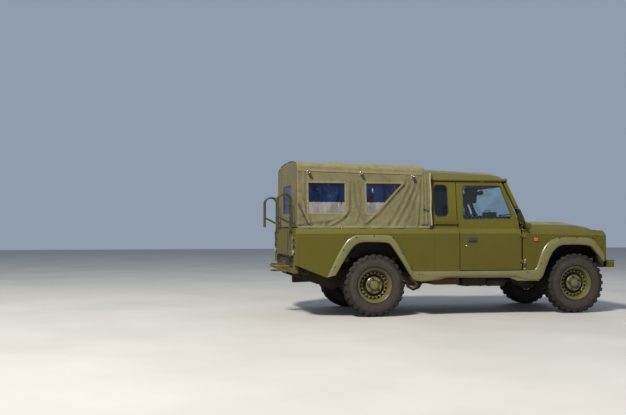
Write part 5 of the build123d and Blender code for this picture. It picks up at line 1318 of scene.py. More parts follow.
# Across the flare from its outer edge to its lip: share of the width, and height off the body.
flare_section = [(0.0, -0.002), (0.0, 0.004), (0.05, 0.011), (0.14, 0.0165), (0.3, 0.0205),
                 (0.52, 0.0222), (0.74, 0.0222), (0.88, 0.0212), (0.96, 0.018), (1.0, 0.012),
                 (1.0, -0.004), (1.0, -0.04)]
rows = [(rear_x + a, wheel_z + b, rear_x + c, wheel_z + d, lip) for a, b, c, d, lip in rear_rows]
rows += [(front_x + a, wheel_z + b, front_x + c, wheel_z + d, lip)
         for a, b, c, d, lip in front_rows]
for _ in range(3):
    # Each pass rounds the corners of both edges off.
    fresh = [rows[0]]
    for a, b in zip(rows, rows[1:]):
        fresh += [tuple(p * 0.75 + q * 0.25 for p, q in zip(a, b)),
                  tuple(p * 0.25 + q * 0.75 for p, q in zip(a, b))]
    rows = fresh + [rows[-1]]
bm = bmesh.new()
for sign in (1, -1):
    rings = []
    for outer_x, outer_z, inner_x, inner_z, lip in rows:
        ring = []
        for k, (share, off) in enumerate(flare_section):
            off = off * (0.72 + 0.28 * lip) if k < 10 else off * max(lip, 0.1)
            place = Vector((outer_x, outer_z)).lerp(Vector((inner_x, inner_z)), share)
            ring.append(bm.verts.new((place.x, sign * (0.895 + off), place.y)))
        rings.append(ring)
    skinned(bm, rings)
    bm.faces.new(rings[0])
    bm.faces.new(rings[-1])
flares = made("arch_flares", bm, flare_paint, smooth=40)
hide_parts("flares")
screw_places = [(-1.335, 1.021), (-1.102, 1.04), (-0.852, 1.017), (-1.502, 0.864), (-0.725, 0.818),
                (-1.615, 0.649), (-0.61, 0.62), (1.26, 0.882), (1.451, 1.009), (1.697, 1.016),
                (1.935, 1.003), (1.185, 0.672), (2.062, 0.89)]
bm = bmesh.new()
for sign in (1, -1):
    for x, z in screw_places:
        turned(bm, [(0.0, 0.003), (0.0055, 0.0025), (0.0085, 0.0005), (0.0085, -0.002)],
               (x, sign * 0.9165, z), (0, sign, 0), 16)
    for x, z in ((-0.5, 0.545), (-0.46, 0.545), (0.985, 0.56), (1.02, 0.56)):
        turned(bm, [(0.0, 0.003), (0.0045, 0.0025), (0.007, 0.0005), (0.007, -0.002)],
               (x, sign * 0.9095, z), (0, sign, 0), 16)
made("flare_screws", bm, chassis_paint)

# Tailgate: a pressed steel flap on two bottom hinges, with a catch and a chain at each side.
rounded("tailgate", 3 * mm, olive_paint)
bm = bmesh.new()
for sign in (1, -1):
    side_bar(bm, sign, (-2.14, 0.6, 1.075), (-2.134, 0.672, 1.105))
    swept(bm, [(-2.139, sign * 0.636, 1.09), (-2.148, sign * 0.636, 1.085),
               (-2.15, sign * 0.636, 1.045)], 0.0055, 8)
made("tailgate_catches", bm, chassis_paint, "tailgate")


def chain(bm, start, end, links):
    """Steel links joined end to end, each turned a quarter against the last, a little slack."""
    thick, half_long, half_wide = 0.0022, 0.012, 0.007
    start, end = Vector(start), Vector(end)
    for i in range(links):
        share = (i + 0.5) / links
        centre = start.lerp(end, share)
        centre.z -= 0.02 * math.sin(math.pi * share)
        way = (end - start).normalized()
        side = way.orthogonal().normalized()
        if i % 2:
            side = way.cross(side)
        loop = []
        for k in range(12):
            angle = 2 * math.pi * k / 12
            loop.append(centre + way * math.cos(angle) * half_long
                        + side * math.sin(angle) * half_wide)
        swept(bm, loop, thick, 6, closed=True)


# Tail lamps: red, amber and clear round lenses in a column at each rear corner.
reds, ambers, whites, bases = bmesh.new(), bmesh.new(), bmesh.new(), bmesh.new()
for sign in (1, -1):
    for place_z, lens in ((1.01, ambers), (0.92, reds), (0.83, whites)):
        round_lamp(lens, bases, (-2.1089, sign * 0.75, place_z), (-1, 0, 0), 0.0355, 0.0275)
rear_lamps = made("tail_lamps_red", reds, red)
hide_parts("tail_lamps")
made("tail_lamps_amber", ambers, dull_amber)
made("tail_lamps_clear", whites, white)
made("tail_lamp_bases", bases, seal_rubber)

# Step hoops: bent steel tube with braces and rungs on the tailgate; tow hook, shackles and safety
# chains below.
hoop_paint = metal_finish("hoop_paint", (0.046, 0.043, 0.017, 1), (0.026, 0.023, 0.01, 1),
                          rough=(0.36, 0.55), dust=0.15, dust_top=1.6, grain=(120.0, 0.2))
dressed("step_hoops", hoop_paint)
dressed("tow_hitch", olive_paint)
bm = bmesh.new()
for sign in (1, -1):
    # A shackle under the bed's rear corner.
    place = Vector((-2.02, sign * 0.6, 0.66))
    loop = [place + Vector((0.05 * math.cos(a), 0.0, -0.075 + 0.07 * math.sin(a)))
            for a in [2 * math.pi * k / 16 for k in range(16)]]
    swept(bm, loop, 0.008, 8, closed=True)
    swept(bm, [place + Vector((0, -0.02, 0)), place + Vector((0, 0.02, 0))], 0.012, 10)
    bar(bm, (place.x - 0.03, place.y - 0.012, 0.66), (place.x + 0.03, place.y + 0.012, 0.705),
        0.003)
made("rear_shackles", bm, chassis_paint)
bm = bmesh.new()
for sign in (1, -1):
    # A safety chain looped up under the corner.
    chain(bm, (-2.05, sign * 0.66, 0.645), (-1.93, sign * 0.66, 0.545), 9)
    chain(bm, (-1.93, sign * 0.66, 0.545), (-1.9, sign * 0.66, 0.64), 7)
made("safety_chains", bm, hoop_paint)

# Rear cross member: a folded olive channel under the tailgate, with a bent guard bar round the
# tow hook.
bm = bmesh.new()
bar(bm, (-2.106, -0.74, 0.56), (-2.05, 0.74, 0.6985), 0.006, 3)
guard = [(-2.105, -0.36, 0.64), (-2.19, -0.35, 0.64), (-2.262, -0.27, 0.638),
         (-2.288, -0.15, 0.636), (-2.292, 0.0, 0.636), (-2.288, 0.15, 0.636), (-2.262, 0.27, 0.638),
         (-2.19, 0.35, 0.64), (-2.105, 0.36, 0.64)]
swept(bm, guard, 0.012, 12)
for sign in (1, -1):
    swept(bm, [(-2.105, sign * 0.2, 0.565), (-2.286, sign * 0.15, 0.628)], 0.009, 10)
    places = [Vector((-2.106, sign * y, z)) for y in (0.46, 0.66) for z in (0.59, 0.67)]
    bolt_heads(bm, places, (-1, 0, 0), 0.009, 0.007)
made("rear_cross_member", bm, olive_paint)

# Stone guards and brackets: black steel plates hung from the rails, behind the rear wheels and by
# the links.
guards = bmesh.new()
mud_flap = [(-2.06, 0.69), (-2.06, 0.52), (-1.8, 0.435), (-1.56, 0.352), (-1.5, 0.352),
            (-1.44, 0.42), (-1.44, 0.69)]
link_guard = [(-0.64, 0.56), (-0.56, 0.36), (-0.48, 0.318), (-0.4, 0.345), (-0.32, 0.47),
              (-0.3, 0.56)]
step_guard = [(0.93, 0.56), (0.98, 0.4), (1.08, 0.352), (1.18, 0.372), (1.24, 0.47), (1.24, 0.56)]
for sign in (1, -1):
    for outline, inner_y in ((mud_flap, 0.455), (link_guard, 0.575), (step_guard, 0.45)):
        outer_y = sign * (inner_y + 0.004)
        panel(guards, [(x, min(sign * inner_y, outer_y), z) for x, z in outline], 0.004)
        swept(guards, [(x, outer_y, z) for x, z in outline], 0.007, 8)
made("stone_guards", guards, chassis_paint)

# Battery box and air tank: dull black steel boxes under the sill, a strapped lid on the one,
# domed ends on the other, each held by two hangers.
bm = bmesh.new()
for sign in (1, -1):
    side_bar(bm, sign, (0.15, 0.5, 0.375), (0.48, 0.735, 0.52), 0.01, 3)
    side_bar(bm, sign, (0.143, 0.496, 0.5), (0.487, 0.739, 0.532), 0.006, 3)
    for strap_x in (0.225, 0.405):
        side_bar(bm, sign, (strap_x - 0.014, 0.494, 0.372), (strap_x + 0.014, 0.741, 0.536))
        bolt_heads(bm, [Vector((strap_x, sign * 0.742, 0.47))], (0, sign, 0), 0.007, 0.006)
    dome = [(0.0, -0.15), (0.035, -0.146), (0.058, -0.13), (0.066, -0.11), (0.066, 0.11),
            (0.058, 0.13), (0.035, 0.146), (0.0, 0.15)]
    turned(bm, dome, (0.65, sign * 0.62, 0.43), (1, 0, 0), 32)
    for strap_x in (0.57, 0.73):
        turned(bm, [(0.066, -0.012), (0.0685, -0.012), (0.0685, 0.012), (0.066, 0.012)],
               (strap_x, sign * 0.62, 0.43), (1, 0, 0), 32)
        side_bar(bm, sign, (strap_x - 0.012, 0.61, 0.49), (strap_x + 0.012, 0.63, 0.56))
made("under_sill_boxes", bm, chassis_paint)

# Lashing strap: a worn tan webbing end, knotted to a steel loop on the guard before the right
# rear wheel.
tan_web = metal_finish("tan_webbing", (0.46, 0.36, 0.22, 1), (0.3, 0.22, 0.13, 1),
                       rough=(0.8, 0.95), dust=0.2, grain=(300.0, 0.5), shine=0.15)
bm = bmesh.new()
strap_x, strap_y = rear_x + 0.6, -0.598
loops = ([(-0.035, 0.5), (-0.045, 0.47), (-0.02, 0.445), (0.0, 0.43), (0.02, 0.405), (0.028, 0.385),
          (0.01, 0.372), (-0.02, 0.368), (-0.05, 0.372)],
          [(-0.03, 0.478), (-0.005, 0.452), (0.016, 0.425), (0.03, 0.4), (0.036, 0.38),
           (0.02, 0.366), (-0.004, 0.352), (-0.03, 0.35)])
for turn, line in enumerate(loops):
    left, right = [], []
    for k, (dx, z) in enumerate(line):
        middle = Vector((strap_x + 1.35 * dx, strap_y - 0.01 * turn - 0.01 * math.sin(k * 1.9), z))
        wide = Vector((0.013 * math.cos(k * 1.3), 0.007 * math.sin(k * 1.1), 0.01))
        left.append(bm.verts.new(middle - wide))
        right.append(bm.verts.new(middle + wide))
    skinned(bm, (left, right), closed=False)
strap_end = made("lashing_strap", bm, tan_web, smooth=60)
wall = strap_end.modifiers.new("webbing", "SOLIDIFY")
wall.thickness = 0.003
fine = strap_end.modifiers.new("bends", "SUBSURF")
fine.levels = fine.render_levels = 2
bm = bmesh.new()
swept(bm, [(strap_x - 0.072, -0.58, 0.492), (strap_x - 0.072, -0.604, 0.496),
           (strap_x - 0.03, -0.604, 0.496), (strap_x - 0.03, -0.58, 0.492)], 0.004, 8)
made("strap_loop", bm, bright_steel, smooth=60)

# Cover hoops: painted steel tube bent over the bed, standing in sockets on the bed's sides.
dressed("canopy_hoops", chassis_paint)

# Canvas cover: proofed cotton, one sheet from side to side over the hoops, laced at the foot. It
# hangs in stretch folds from the seam, sags between the hoops, and its roof seam is stitched
# double.
cover_rear_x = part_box("canopy")[0].x
cover_nose_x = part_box("canopy")[1].x
cover_foot_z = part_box("canopy")[0].z
rear_axle = -1.0685
# Half widths at the foot and the seam, height of the lacing and from there to the seam, where the
# nose starts to drop, and the places of the bows under the roof.
foot_y, seam_y = 0.8555, 0.8
lacing_z, side_rise = 1.14, 0.75
cloth_thickness = 0.0022
nose_start_x = -0.4135
bows = (-2.0535, -1.5085, -0.9585, -0.4285)


def canvas_cloth(name, light, dark, dusty):
    """Khaki canvas: bleached in patches, with painted shade in its creases and fold hollows, a
    painted highlight on its ridges, and plainly woven.
    """
    material, tree, shader, where = new_material(name)
    tone = ranged(tree, cloud(tree, where, 2.2, 7.0, 0.65, 0.5), 0.34, 0.68)
    base = mixed(tree, tone, light, dark)
    base = mixed(tree, ranged(tree, facing_up(tree), 0.35, 0.95, 0.0, 0.6), base, dusty)
    stains = ranged(tree, cloud(tree, where, 9.0, 9.0, 0.75, 1.0), 0.56, 0.74, 0.0, 0.35)
    base = mixed(tree, stains, base, shade(dark, 0.62))
    low = ranged(tree, part_of(tree, where, 2), 1.3, 1.14, 0.0, 0.35)
    wisps = ranged(tree, cloud(tree, where, 15.0, 8.0, 0.7), 0.35, 0.7)
    base = mixed(tree, worked(tree, "MULTIPLY", low, wisps), base, (0.16, 0.13, 0.068, 1))
    creases = cloud(tree, where, 7.5, 6.0, 0.6, 1.2)
    # Painted shade where the crease relief dips, then painted shade in the folds' hollows and a
    # painted highlight on their ridges.
    base = mixed(tree, ranged(tree, creases, 0.36, 0.52, 0.4, 0.0), base, shade(dark, 0.6))
    bend = put(tree, "NewGeometry").outputs["Pointiness"]
    base = mixed(tree, ranged(tree, bend, 0.44, 0.495, 0.75, 0.0), base, shade(dark, 0.45))
    base = mixed(tree, ranged(tree, bend, 0.51, 0.58, 0.0, 0.22), base, shade(light, 1.4))
    weave = worked(tree, "ADD", threads(tree, where, 170.0, 0.6, "X"),
                   threads(tree, where, 170.0, 0.6, "Z"))
    woven = relief(tree, weave, 0.22, 0.0008)
    fill(tree, shader, {"Base Color": base, "Roughness": 0.86, "Sheen Weight": 0.03,
                        "Sheen Roughness": 0.5, "Normal": relief(tree, creases, 0.4, 0.018, woven)})
    return material


canvas = canvas_cloth("khaki_canvas", (0.155, 0.136, 0.06, 1), (0.112, 0.097, 0.04, 1),
                      (0.215, 0.184, 0.07, 1))


def ease(value, low, high):
    """A soft step from 0 at one value to 1 at another."""
    share = min(max((value - low) / (high - low), 0.0), 1.0)
    return share * share * (3 - 2 * share)


def seam_height(x):
    """Height of the roof seam along the cover; it drops at the nose."""
    if x < nose_start_x:
        return 1.912 - (x - cover_rear_x) / (nose_start_x - cover_rear_x) * 0.036
    return 1.876 - 0.07 * (x - nose_start_x) / 0.105


def crown_height(x):
    """Height of the middle of the roof along the cover."""
    if x < nose_start_x:
        return 2.02 - (x - cover_rear_x) / (nose_start_x - cover_rear_x) * 0.028
    return 1.992 - 0.08 * (x - nose_start_x) / 0.105


def between_bows(x):
    """How far a place lies from the bows: 0 on a bow, 1 in the middle between two."""
    for bow, following in zip(bows, bows[1:]):
        if bow < x < following:
            return math.sin(math.pi * (x - bow) / (following - bow))
    return 0.0


# Folds of each side: a line of places (distance ahead of the rear axle, height), height and width.
side_folds = [
    ([(-0.344, 1.7), (-0.349, 1.5), (-0.352, 1.37), (-0.43, 1.27), (-0.598, 1.175)], 0.012, 0.02),
    ([(-0.3, 1.69), (-0.285, 1.48), (-0.23, 1.32), (-0.153, 1.18)], 0.008, 0.022),
    ([(-0.215, 1.66), (-0.205, 1.4), (-0.255, 1.23)], 0.006, 0.018),
    ([(0.39, 1.72), (0.21, 1.52), (0.03, 1.335), (-0.11, 1.215)], 0.011, 0.019),
    ([(0.455, 1.7), (0.33, 1.45), (0.15, 1.18)], 0.007, 0.022),
    ([(0.527, 1.69), (0.4, 1.43), (0.235, 1.16)], 0.01, 0.022),
    ([(0.59, 1.72), (0.5, 1.44), (0.36, 1.16)], 0.007, 0.02),
    ([(0.61, 1.78), (0.592, 1.5), (0.56, 1.16)], 0.008, 0.015),
    ([(0.652, 1.79), (0.648, 1.47), (0.636, 1.155)], 0.008, 0.013),
    ([(0.692, 1.79), (0.69, 1.48), (0.694, 1.155)], 0.007, 0.012),
    ([(-0.38, 1.32), (-0.56, 1.25), (-0.86, 1.215)], 0.006, 0.02),
    ([(-0.48, 1.3), (-0.64, 1.22), (-0.7, 1.15)], 0.005, 0.016),
    ([(-0.925, 1.86), (-0.93, 1.56), (-0.925, 1.3)], 0.006, 0.016),
    ([(-0.975, 1.56), (-0.9, 1.33), (-0.85, 1.16)], 0.012, 0.02),
    ([(-0.08, 1.33), (-0.03, 1.24), (0.06, 1.16)], 0.006, 0.018),
]


def fold_height(along, high, folds):
    """How far the cloth stands out at a place on the side: ridges with a hollow beside each."""
    total = 0.0
    here = Vector((along, high))
    for line, height, width in folds:
        best = None
        for start, end in zip(line, line[1:]):
            a, b = Vector(start), Vector(end)
            run = b - a
            share = min(max((here - a).dot(run) / run.length_squared, 0.0), 1.0)
            gap = here - (a + run * share)
            side = run.x * gap.y - run.y * gap.x
            if best is None or gap.length < abs(best):
                best = math.copysign(gap.length, side)
        if abs(best) < 4 * width:
            ridge = math.exp(-((best / width) ** 2))
            hollow = math.exp(-(((best - 1.7 * width) / width) ** 2))
            total += height * (ridge - 0.55 * hollow)
    return total


def cover_section(x):
    """Half of the cover's cross section, from the seam to the middle of the roof."""
    seam, crown = seam_height(x), crown_height(x)
    return [(seam_y, seam - 0.022), (0.79, seam + 0.022), (0.764, seam + 0.05),
            (0.725, seam + 0.069), (0.6, crown - 0.022), (0.45, crown - 0.002),
            (0.225, crown + 0.008), (0.0, crown + 0.0115)]


# The openings for the side windows, in height and ahead of the rear axle; the front one's front
# edge slants. The net of the side has rows and columns on their edges.
low_z, top_z = 1.335, 1.714
rear_window, front_window = (-0.868, -0.396), (-0.109, 0.373)
rows_below, rows_beside = 16, 26
side_rows = [cover_foot_z + s * (low_z - cover_foot_z) / rows_below for s in range(rows_below)]
side_rows += [low_z + s * (top_z - low_z) / rows_beside for s in range(rows_beside)]
side_steps = [12, 34, 22, 12, 26, 12, 9, 4]


def slanting_edge(high):
    """The front window's front edge: distance ahead of the rear axle at a height."""
    slant_top = 1.706
    share = (min(max(high, low_z), slant_top) - low_z) / (slant_top - low_z)
    return -0.003 + share * 0.376


def column_places(high):
    """Places of the net's columns along the side, at a height."""
    knots = [-1.012, *rear_window, front_window[0], slanting_edge(high), 0.54, 0.655, 0.7275, 0.76]
    places = []
    for (start, end), steps in zip(zip(knots, knots[1:]), side_steps):
        places += [start + (end - start) * s / steps for s in range(steps)]
    return [p + rear_axle for p in places + [knots[-1]]]


columns = sum(side_steps) + 1
window_columns = [(side_steps[0], sum(side_steps[:2])), (sum(side_steps[:3]), sum(side_steps[:4]))]


def side_point(x, high, sign):
    """A place on the side of the cover, with its folds, sag and hem."""
    seam = seam_height(x)
    share = (high - cover_foot_z) / (seam - 0.022 - cover_foot_z)
    y = foot_y + (seam_y - foot_y) * share
    along = x - rear_axle
    out = fold_height(along, high, side_folds)
    hem = ease(high, 1.3, 1.16)
    crumple = noise.fractal(Vector((along * 9, high * 9, sign * 7)), 0.7, 2.2, 4)
    crumple *= 0.003 + 0.006 * hem
    wave = math.sin(along * 21 + 1.3 * math.sin(along * 5)) * 0.006 * hem
    wave *= 1 - 0.6 * ease(high, 1.155, 1.142)
    sag = -0.007 * between_bows(x) * math.sin(math.pi * min(share, 1.0))
    window = ease(high, low_z - 0.05, low_z) * ease(high, top_z + 0.05, top_z)
    held = 1.0 - 0.65 * window * (ease(along, -0.93, rear_window[0])
                                  * ease(along, -0.34, rear_window[1]))
    y += (out + crumple + wave) * held + sag
    edge = 0.004 * math.exp(-(((high - cover_foot_z - 0.028) / 0.003) ** 2))
    pleat = 0.0035 if high < cover_foot_z + 0.026 else 0.0
    return Vector((x, sign * (y + pleat - edge), high))


roof_steps = [8, 3, 3, 3, 7, 7, 10, 10]
roof_count = sum(roof_steps)


def roof_point(x, row, sign):
    """A place on the cover above the windows, with the sag between the bows and the double seam."""
    share = (top_z - cover_foot_z) / (seam_height(x) - 0.022 - cover_foot_z)
    corners = [(seam_y + (foot_y - seam_y) * (1 - share), top_z)] + cover_section(x)
    count = 0
    for (start, end), number in zip(zip(corners, corners[1:]), roof_steps):
        if row < count + number or (end is corners[-1] and row == count + number):
            share = (row - count) / number
            place = Vector(start).lerp(Vector(end), share)
            break
        count += number
    y, z = place
    along = x - rear_axle
    level = ease(z, seam_height(x), crown_height(x) - 0.02)
    crumple = noise.fractal(Vector((along * 6, y * 6 * sign, z * 5)), 0.7, 2.2, 4) * 0.0035
    z -= level * (0.014 * between_bows(x) ** 0.7) - crumple
    if z < seam_height(x) - 0.02:
        return side_point(x, z, sign)
    y += crumple * (1 - level)
    # The double seam stands proud where the roof panel laps over the side.
    y += 0.004 * math.exp(-(((z - seam_height(x) + 0.012) / 0.012) ** 2))
    return Vector((x, sign * y, z))


bm = bmesh.new()
net = []
for sign in (-1, 1):
    half = []
    for high in side_rows:
        half.append([side_point(x, high, sign) for x in column_places(high)])
    for row in range(roof_count + 1):
        straight = [cover_rear_x + (cover_nose_x - cover_rear_x) * c / (columns - 1)
                    for c in range(columns)]
        slanted = column_places(top_z)
        blend = ease(row, 2, 30)
        half.append([roof_point(s * (1 - blend) + t * blend, row, sign)
                     for s, t in zip(slanted, straight)])
    net.append(half)
# From the right foot up over the roof and down to the left foot, as one sheet.
whole = net[0] + net[1][:-1][::-1]
verts = [[bm.verts.new(place) for place in row] for row in whole]
side_count = len(side_rows)
total_rows = len(whole)


def in_window(row, column):
    """Whether a face of the net lies in a window opening, counted up from either foot."""
    if row >= total_rows // 2:
        row = total_rows - 2 - row
    if not rows_below <= row < side_count:
        return False
    return any(first <= column < last for first, last in window_columns)


for row in range(total_rows - 1):
    for column in range(columns - 1):
        if not in_window(row, column):
            bm.faces.new((verts[row][column], verts[row][column + 1],
                          verts[row + 1][column + 1], verts[row + 1][column]))
cover = made("canvas_cover", bm, canvas, smooth=60)
inward = cover.modifiers.new("cloth_thickness", "SOLIDIFY")
inward.thickness = cloth_thickness
inward.offset = -1.0
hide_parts("canopy")


def ribbon(bm, points, normals, width, thick):
    """A flat strap or tape along points on a surface, lying on it with its flat side down."""
    rings = []
    count = len(points)
    for i, point in enumerate(points):
        way = (Vector(points[min(i + 1, count - 1)]) - Vector(points[max(i - 1, 0)])).normalized()
        normal = Vector(normals[i]).normalized()
        side = way.cross(normal).normalized() * (width / 2)
        low, high = Vector(point), Vector(point) + normal * thick
        rings.append([bm.verts.new(low - side), bm.verts.new(low + side),
                      bm.verts.new(high + side * 0.94), bm.verts.new(high - side * 0.94)])
    skinned(bm, rings)
    bm.faces.new(rings[0][::-1])
    bm.faces.new(rings[-1])


def along_side(marks, sign, proud=0.004, step=0.02):
    """Places along a line on the cover's side: distance ahead of the rear axle, and height."""
    points, normals = [], []
    for (x0, z0), (x1, z1) in zip(marks, marks[1:]):
        steps = max(1, int(math.hypot(x1 - x0, z1 - z0) / step))
        for k in range(steps + (1 if (x1, z1) == marks[-1] else 0)):
            x, z = x0 + (x1 - x0) * k / steps, z0 + (z1 - z0) * k / steps
            place = side_point(x + rear_axle, z, sign)
            points.append(place + Vector((0, sign * proud, 0)))
            normals.append(Vector((0, sign, 0.07)))
    return points, normals


# Seams of the cover: the roof's lap, window bindings and foot hem are tapes of the same canvas,
# sewn on.
canvas_tape = canvas_cloth("canvas_tape", (0.175, 0.156, 0.076, 1), (0.13, 0.114, 0.052, 1),
                           (0.235, 0.215, 0.12, 1))
bm = bmesh.new()
for sign in (1, -1):
    steps = [-1.01 + 0.05 * k for k in range(34)]
    marks = [(along, seam_height(along + rear_axle) - 0.03) for along in steps]
    points, normals = along_side(marks, sign, 0.0025)
    ribbon(bm, points, normals, 0.034, 0.003)
    for first, low_end, high_end in ((rear_window[0], -0.392, -0.384),
                                     (front_window[0], 0.001, 0.393)):
        frame_line = [(first - 0.012, low_z - 0.012), (low_end, low_z - 0.012),
                      (high_end, top_z + 0.012), (first - 0.012, top_z + 0.012),
                      (first - 0.012, low_z - 0.012)]
        for start, end in zip(frame_line, frame_line[1:]):
            points, normals = along_side([start, end], sign, 0.0012)
            ribbon(bm, points, normals, 0.024, 0.0018)
    marks = [(-1.008 + 0.03 * k, cover_foot_z + 0.016) for k in range(59)]
    points, normals = along_side(marks, sign, 0.0005)
    ribbon(bm, points, normals, 0.028, 0.0022)
made("cover_tapes", bm, canvas_tape, smooth=60)

# Front edge of each side: the canvas is rolled round a cord and laced down, painted pale as a
# highlight where the sun catches it.
highlight_canvas = canvas_cloth("highlight_canvas", (0.28, 0.26, 0.155, 1), (0.21, 0.19, 0.11, 1),
                           (0.31, 0.29, 0.18, 1))
bm = bmesh.new()
for sign in (1, -1):
    roll = []
    for k in range(30):
        z = 1.862 - (1.862 - 1.165) * k / 29
        along = 0.752 + 0.004 * math.sin(z * 17)
        place = side_point(along + rear_axle, z, sign)
        roll_y = foot_y - (foot_y - seam_y) * (z - lacing_z) / side_rise + 0.004
        roll.append(Vector((place.x, sign * roll_y, z)))
    roll.append(roll[-1] + Vector((-0.012, 0, -0.012)))
    roll.append(roll[-1] + Vector((-0.022, 0, -0.008)))
    swept(bm, roll, 0.0105, 12)
made("cover_edge_rolls", bm, highlight_canvas, smooth=60)

# Toggles under the roof's edge: a steel eyelet on a canvas patch, with a short black strap
# through it.
strap_black = metal_finish("strap_webbing", (0.012, 0.012, 0.013, 1), (0.024, 0.023, 0.022, 1),
                           rough=(0.7, 0.9), grain=(240.0, 0.6), dust=0.15, dust_top=2.1)
patches, eyelets, straps = bmesh.new(), bmesh.new(), bmesh.new()
for sign in (1, -1):
    for along, z in ((-0.866, 1.845), (-0.177, 1.839), (0.515, 1.808)):
        points, normals = along_side([(along, z + 0.034), (along, z - 0.026)], sign, 0.0022)
        ribbon(patches, points, normals, 0.056, 0.0022)
        place = side_point(along + rear_axle, z + 0.008, sign) + Vector((0, sign * 0.007, 0))
        loop = ring_points(place, (0, sign, 0.07), 0.0165, 20)
        swept(eyelets, loop, 0.0062, 8, closed=True)
        for shift, drop, wide in ((0.0, -0.012, 0.026), (0.016, -0.03, 0.022)):
            marks = [(along - 0.004 + shift, z + 0.006 + drop * 0.3),
                     (along + 0.01 + shift, z - 0.024),
                     (along + 0.026 + shift, z - 0.058 + drop * 0.4)]
            points, normals = along_side(marks, sign, 0.0075 + shift * 0.2, 0.008)
            ribbon(straps, points, normals, wide, 0.004)
    # Corner strap: from an eyelet at the rear edge down to the hook on the bed's side.
    for marks in ([(-1.004, 1.445), (-0.97, 1.386), (-0.93, 1.29), (-0.885, 1.205),
                   (-0.843, 1.172)],
                  [(-1.008, 1.176), (-0.93, 1.172), (-0.845, 1.17)]):
        points, normals = along_side(marks, sign, 0.0045, 0.012)
        ribbon(straps, points, normals, 0.019, 0.003)
    # Buckled straps beside the front edge.
    for along, z, turn in ((0.675, 1.375, 0.25), (0.648, 1.18, -0.1)):
        marks = [(along - 0.03, z + turn * 0.03), (along + 0.052, z - turn * 0.03)]
        points, normals = along_side(marks, sign, 0.0055, 0.01)
        ribbon(straps, points, normals, 0.02, 0.003)
        place = points[len(points) // 2] + Vector((0, sign * 0.004, 0))
        half = 0.014
        loop = [place + Vector((dx, 0, dz))
                for dx, dz in ((-half, -half), (half, -half), (half, half), (-half, half))]
        swept(eyelets, loop, 0.0022, 8, closed=True)
    # The knot that ties the rolled edge to the side's lashing rail.
    centre = Vector((0.742 + rear_axle, sign * 0.866, 1.156))
    for tilt in (0.0, 1.1, 2.2):
        loop = [centre + Vector((0.017 * math.cos(a) * math.cos(tilt),
                                 sign * (0.006 * math.sin(a * 2) + 0.004),
                                 0.013 * math.sin(a) + 0.008 * math.cos(a) * math.sin(tilt)))
                for a in [2 * math.pi * k / 18 for k in range(18)]]
        swept(straps, loop, 0.0062, 8, closed=True)
    swept(straps, [centre, centre + Vector((0.018, 0, -0.012)), centre + Vector((0.036, 0, 0.002))],
          0.005, 8)
    swept(straps, [centre, centre + Vector((-0.006, 0, -0.022)),
                   centre + Vector((-0.012, 0, -0.036))], 0.005, 8)
    # Lashing hooks on the bed's side, one for each strap.
    for along in (-0.838, -0.45, -0.05, 0.35, 0.7):
        place = Vector((along + rear_axle, sign * 0.8625, 1.135))
        swept(eyelets, [place + Vector((0, -sign * 0.004, -0.012)),
                        place + Vector((0, sign * 0.006, -0.012)),
                        place + Vector((0, sign * 0.008, 0.004)),
                        place + Vector((0, sign * 0.002, 0.01))], 0.0035, 8)
made("toggle_patches", patches, canvas_tape)
made("cover_eyelets", eyelets, bright_steel, smooth=60)
made("cover_straps", straps, strap_black, smooth=60)

# End curtains: separate canvas sheets inside the rear and the front bow, each with a window and
# hanging free at its foot.
curtain_canvas = canvas_cloth("curtain_canvas", (0.104, 0.088, 0.03, 1), (0.074, 0.061, 0.02, 1),
                              (0.13, 0.115, 0.045, 1))


def roof_height(y, x):
    """Height of the cover's roof at a place."""
    corners = cover_section(x)
    across = abs(y)
    for (y0, z0), (y1, z1) in zip(corners, corners[1:]):
        if y1 <= across <= y0:
            return z0 + (z1 - z0) * (y0 - across) / (y0 - y1)
    return corners[0][1]


def end_curtain(name, x, away, low_edge, window, folds, seed):
    """An end sheet of the cover, on a net that follows the edges of its window opening."""
    half_window, window_low, window_top = window
    below, beside, above = 10, 20, 14
    outer, inner = 14, 24
    edge = half_window / seam_y
    cols = [-1.0 + k * (1.0 - edge) / outer for k in range(outer)]
    cols += [-edge + k * (2 * edge) / inner for k in range(inner)]
    cols += [edge + k * (1.0 - edge) / outer for k in range(outer + 1)]
    bm = bmesh.new()
    net = []
    for row in range(below + beside + above + 1):
        line = []
        for u in cols:
            y_flat = seam_y * u
            top = roof_height(min(abs(y_flat), 0.79), x) - 0.006
            if row <= below:
                z = low_edge + (window_low - low_edge) * row / below
            elif row <= below + beside:
                z = window_low + (window_top - window_low) * (row - below) / beside
            else:
                z = window_top + (top - window_top) * (row - below - beside) / above
            widen = 1.0 + 0.06 * (1 - min(max((z - lacing_z) / side_rise, 0.0), 1.0))
            y = y_flat * widen * 0.99
            calm = ease(abs(y_flat), half_window - 0.02, half_window + 0.08)
            calm += 0 if window_low < z < window_top else 0.6
            crumple = noise.fractal(Vector((y * 6, z * 4, seed)), 0.7, 2.2, 4)
            out = crumple * 0.006 * min(calm + 0.2, 1.0)
            out += folds * 0.01 * math.sin(y * 11 + 2 * math.sin(z * 5)) * ease(z, 1.36, 1.15)
            fold_y = 0.6 + 0.05 * math.sin(z * 6)
            out += folds * 0.007 * math.exp(-(((abs(y) - fold_y) / 0.03) ** 2))
            line.append(bm.verts.new((x + away * (0.004 + out), y, z)))
        net.append(line)
    for row in range(below + beside + above):
        for c in range(len(cols) - 1):
            if not (below <= row < below + beside and outer <= c < outer + inner):
                bm.faces.new((net[row][c], net[row][c + 1], net[row + 1][c + 1], net[row + 1][c]))
    obj = made(name, bm, curtain_canvas, smooth=60)
    obj.modifiers.new("cloth_thickness", "SOLIDIFY").thickness = cloth_thickness
    return obj


rear_sheet = end_curtain("rear_curtain", cover_rear_x + 0.01, -1, 1.146, (0.33, 1.33, 1.7), 1.0,
                         3.0)
front_sheet = end_curtain("front_curtain", cover_nose_x - 0.01, 1, 1.146, (0.36, 1.27, 1.66), 0.2,
                          8.0)
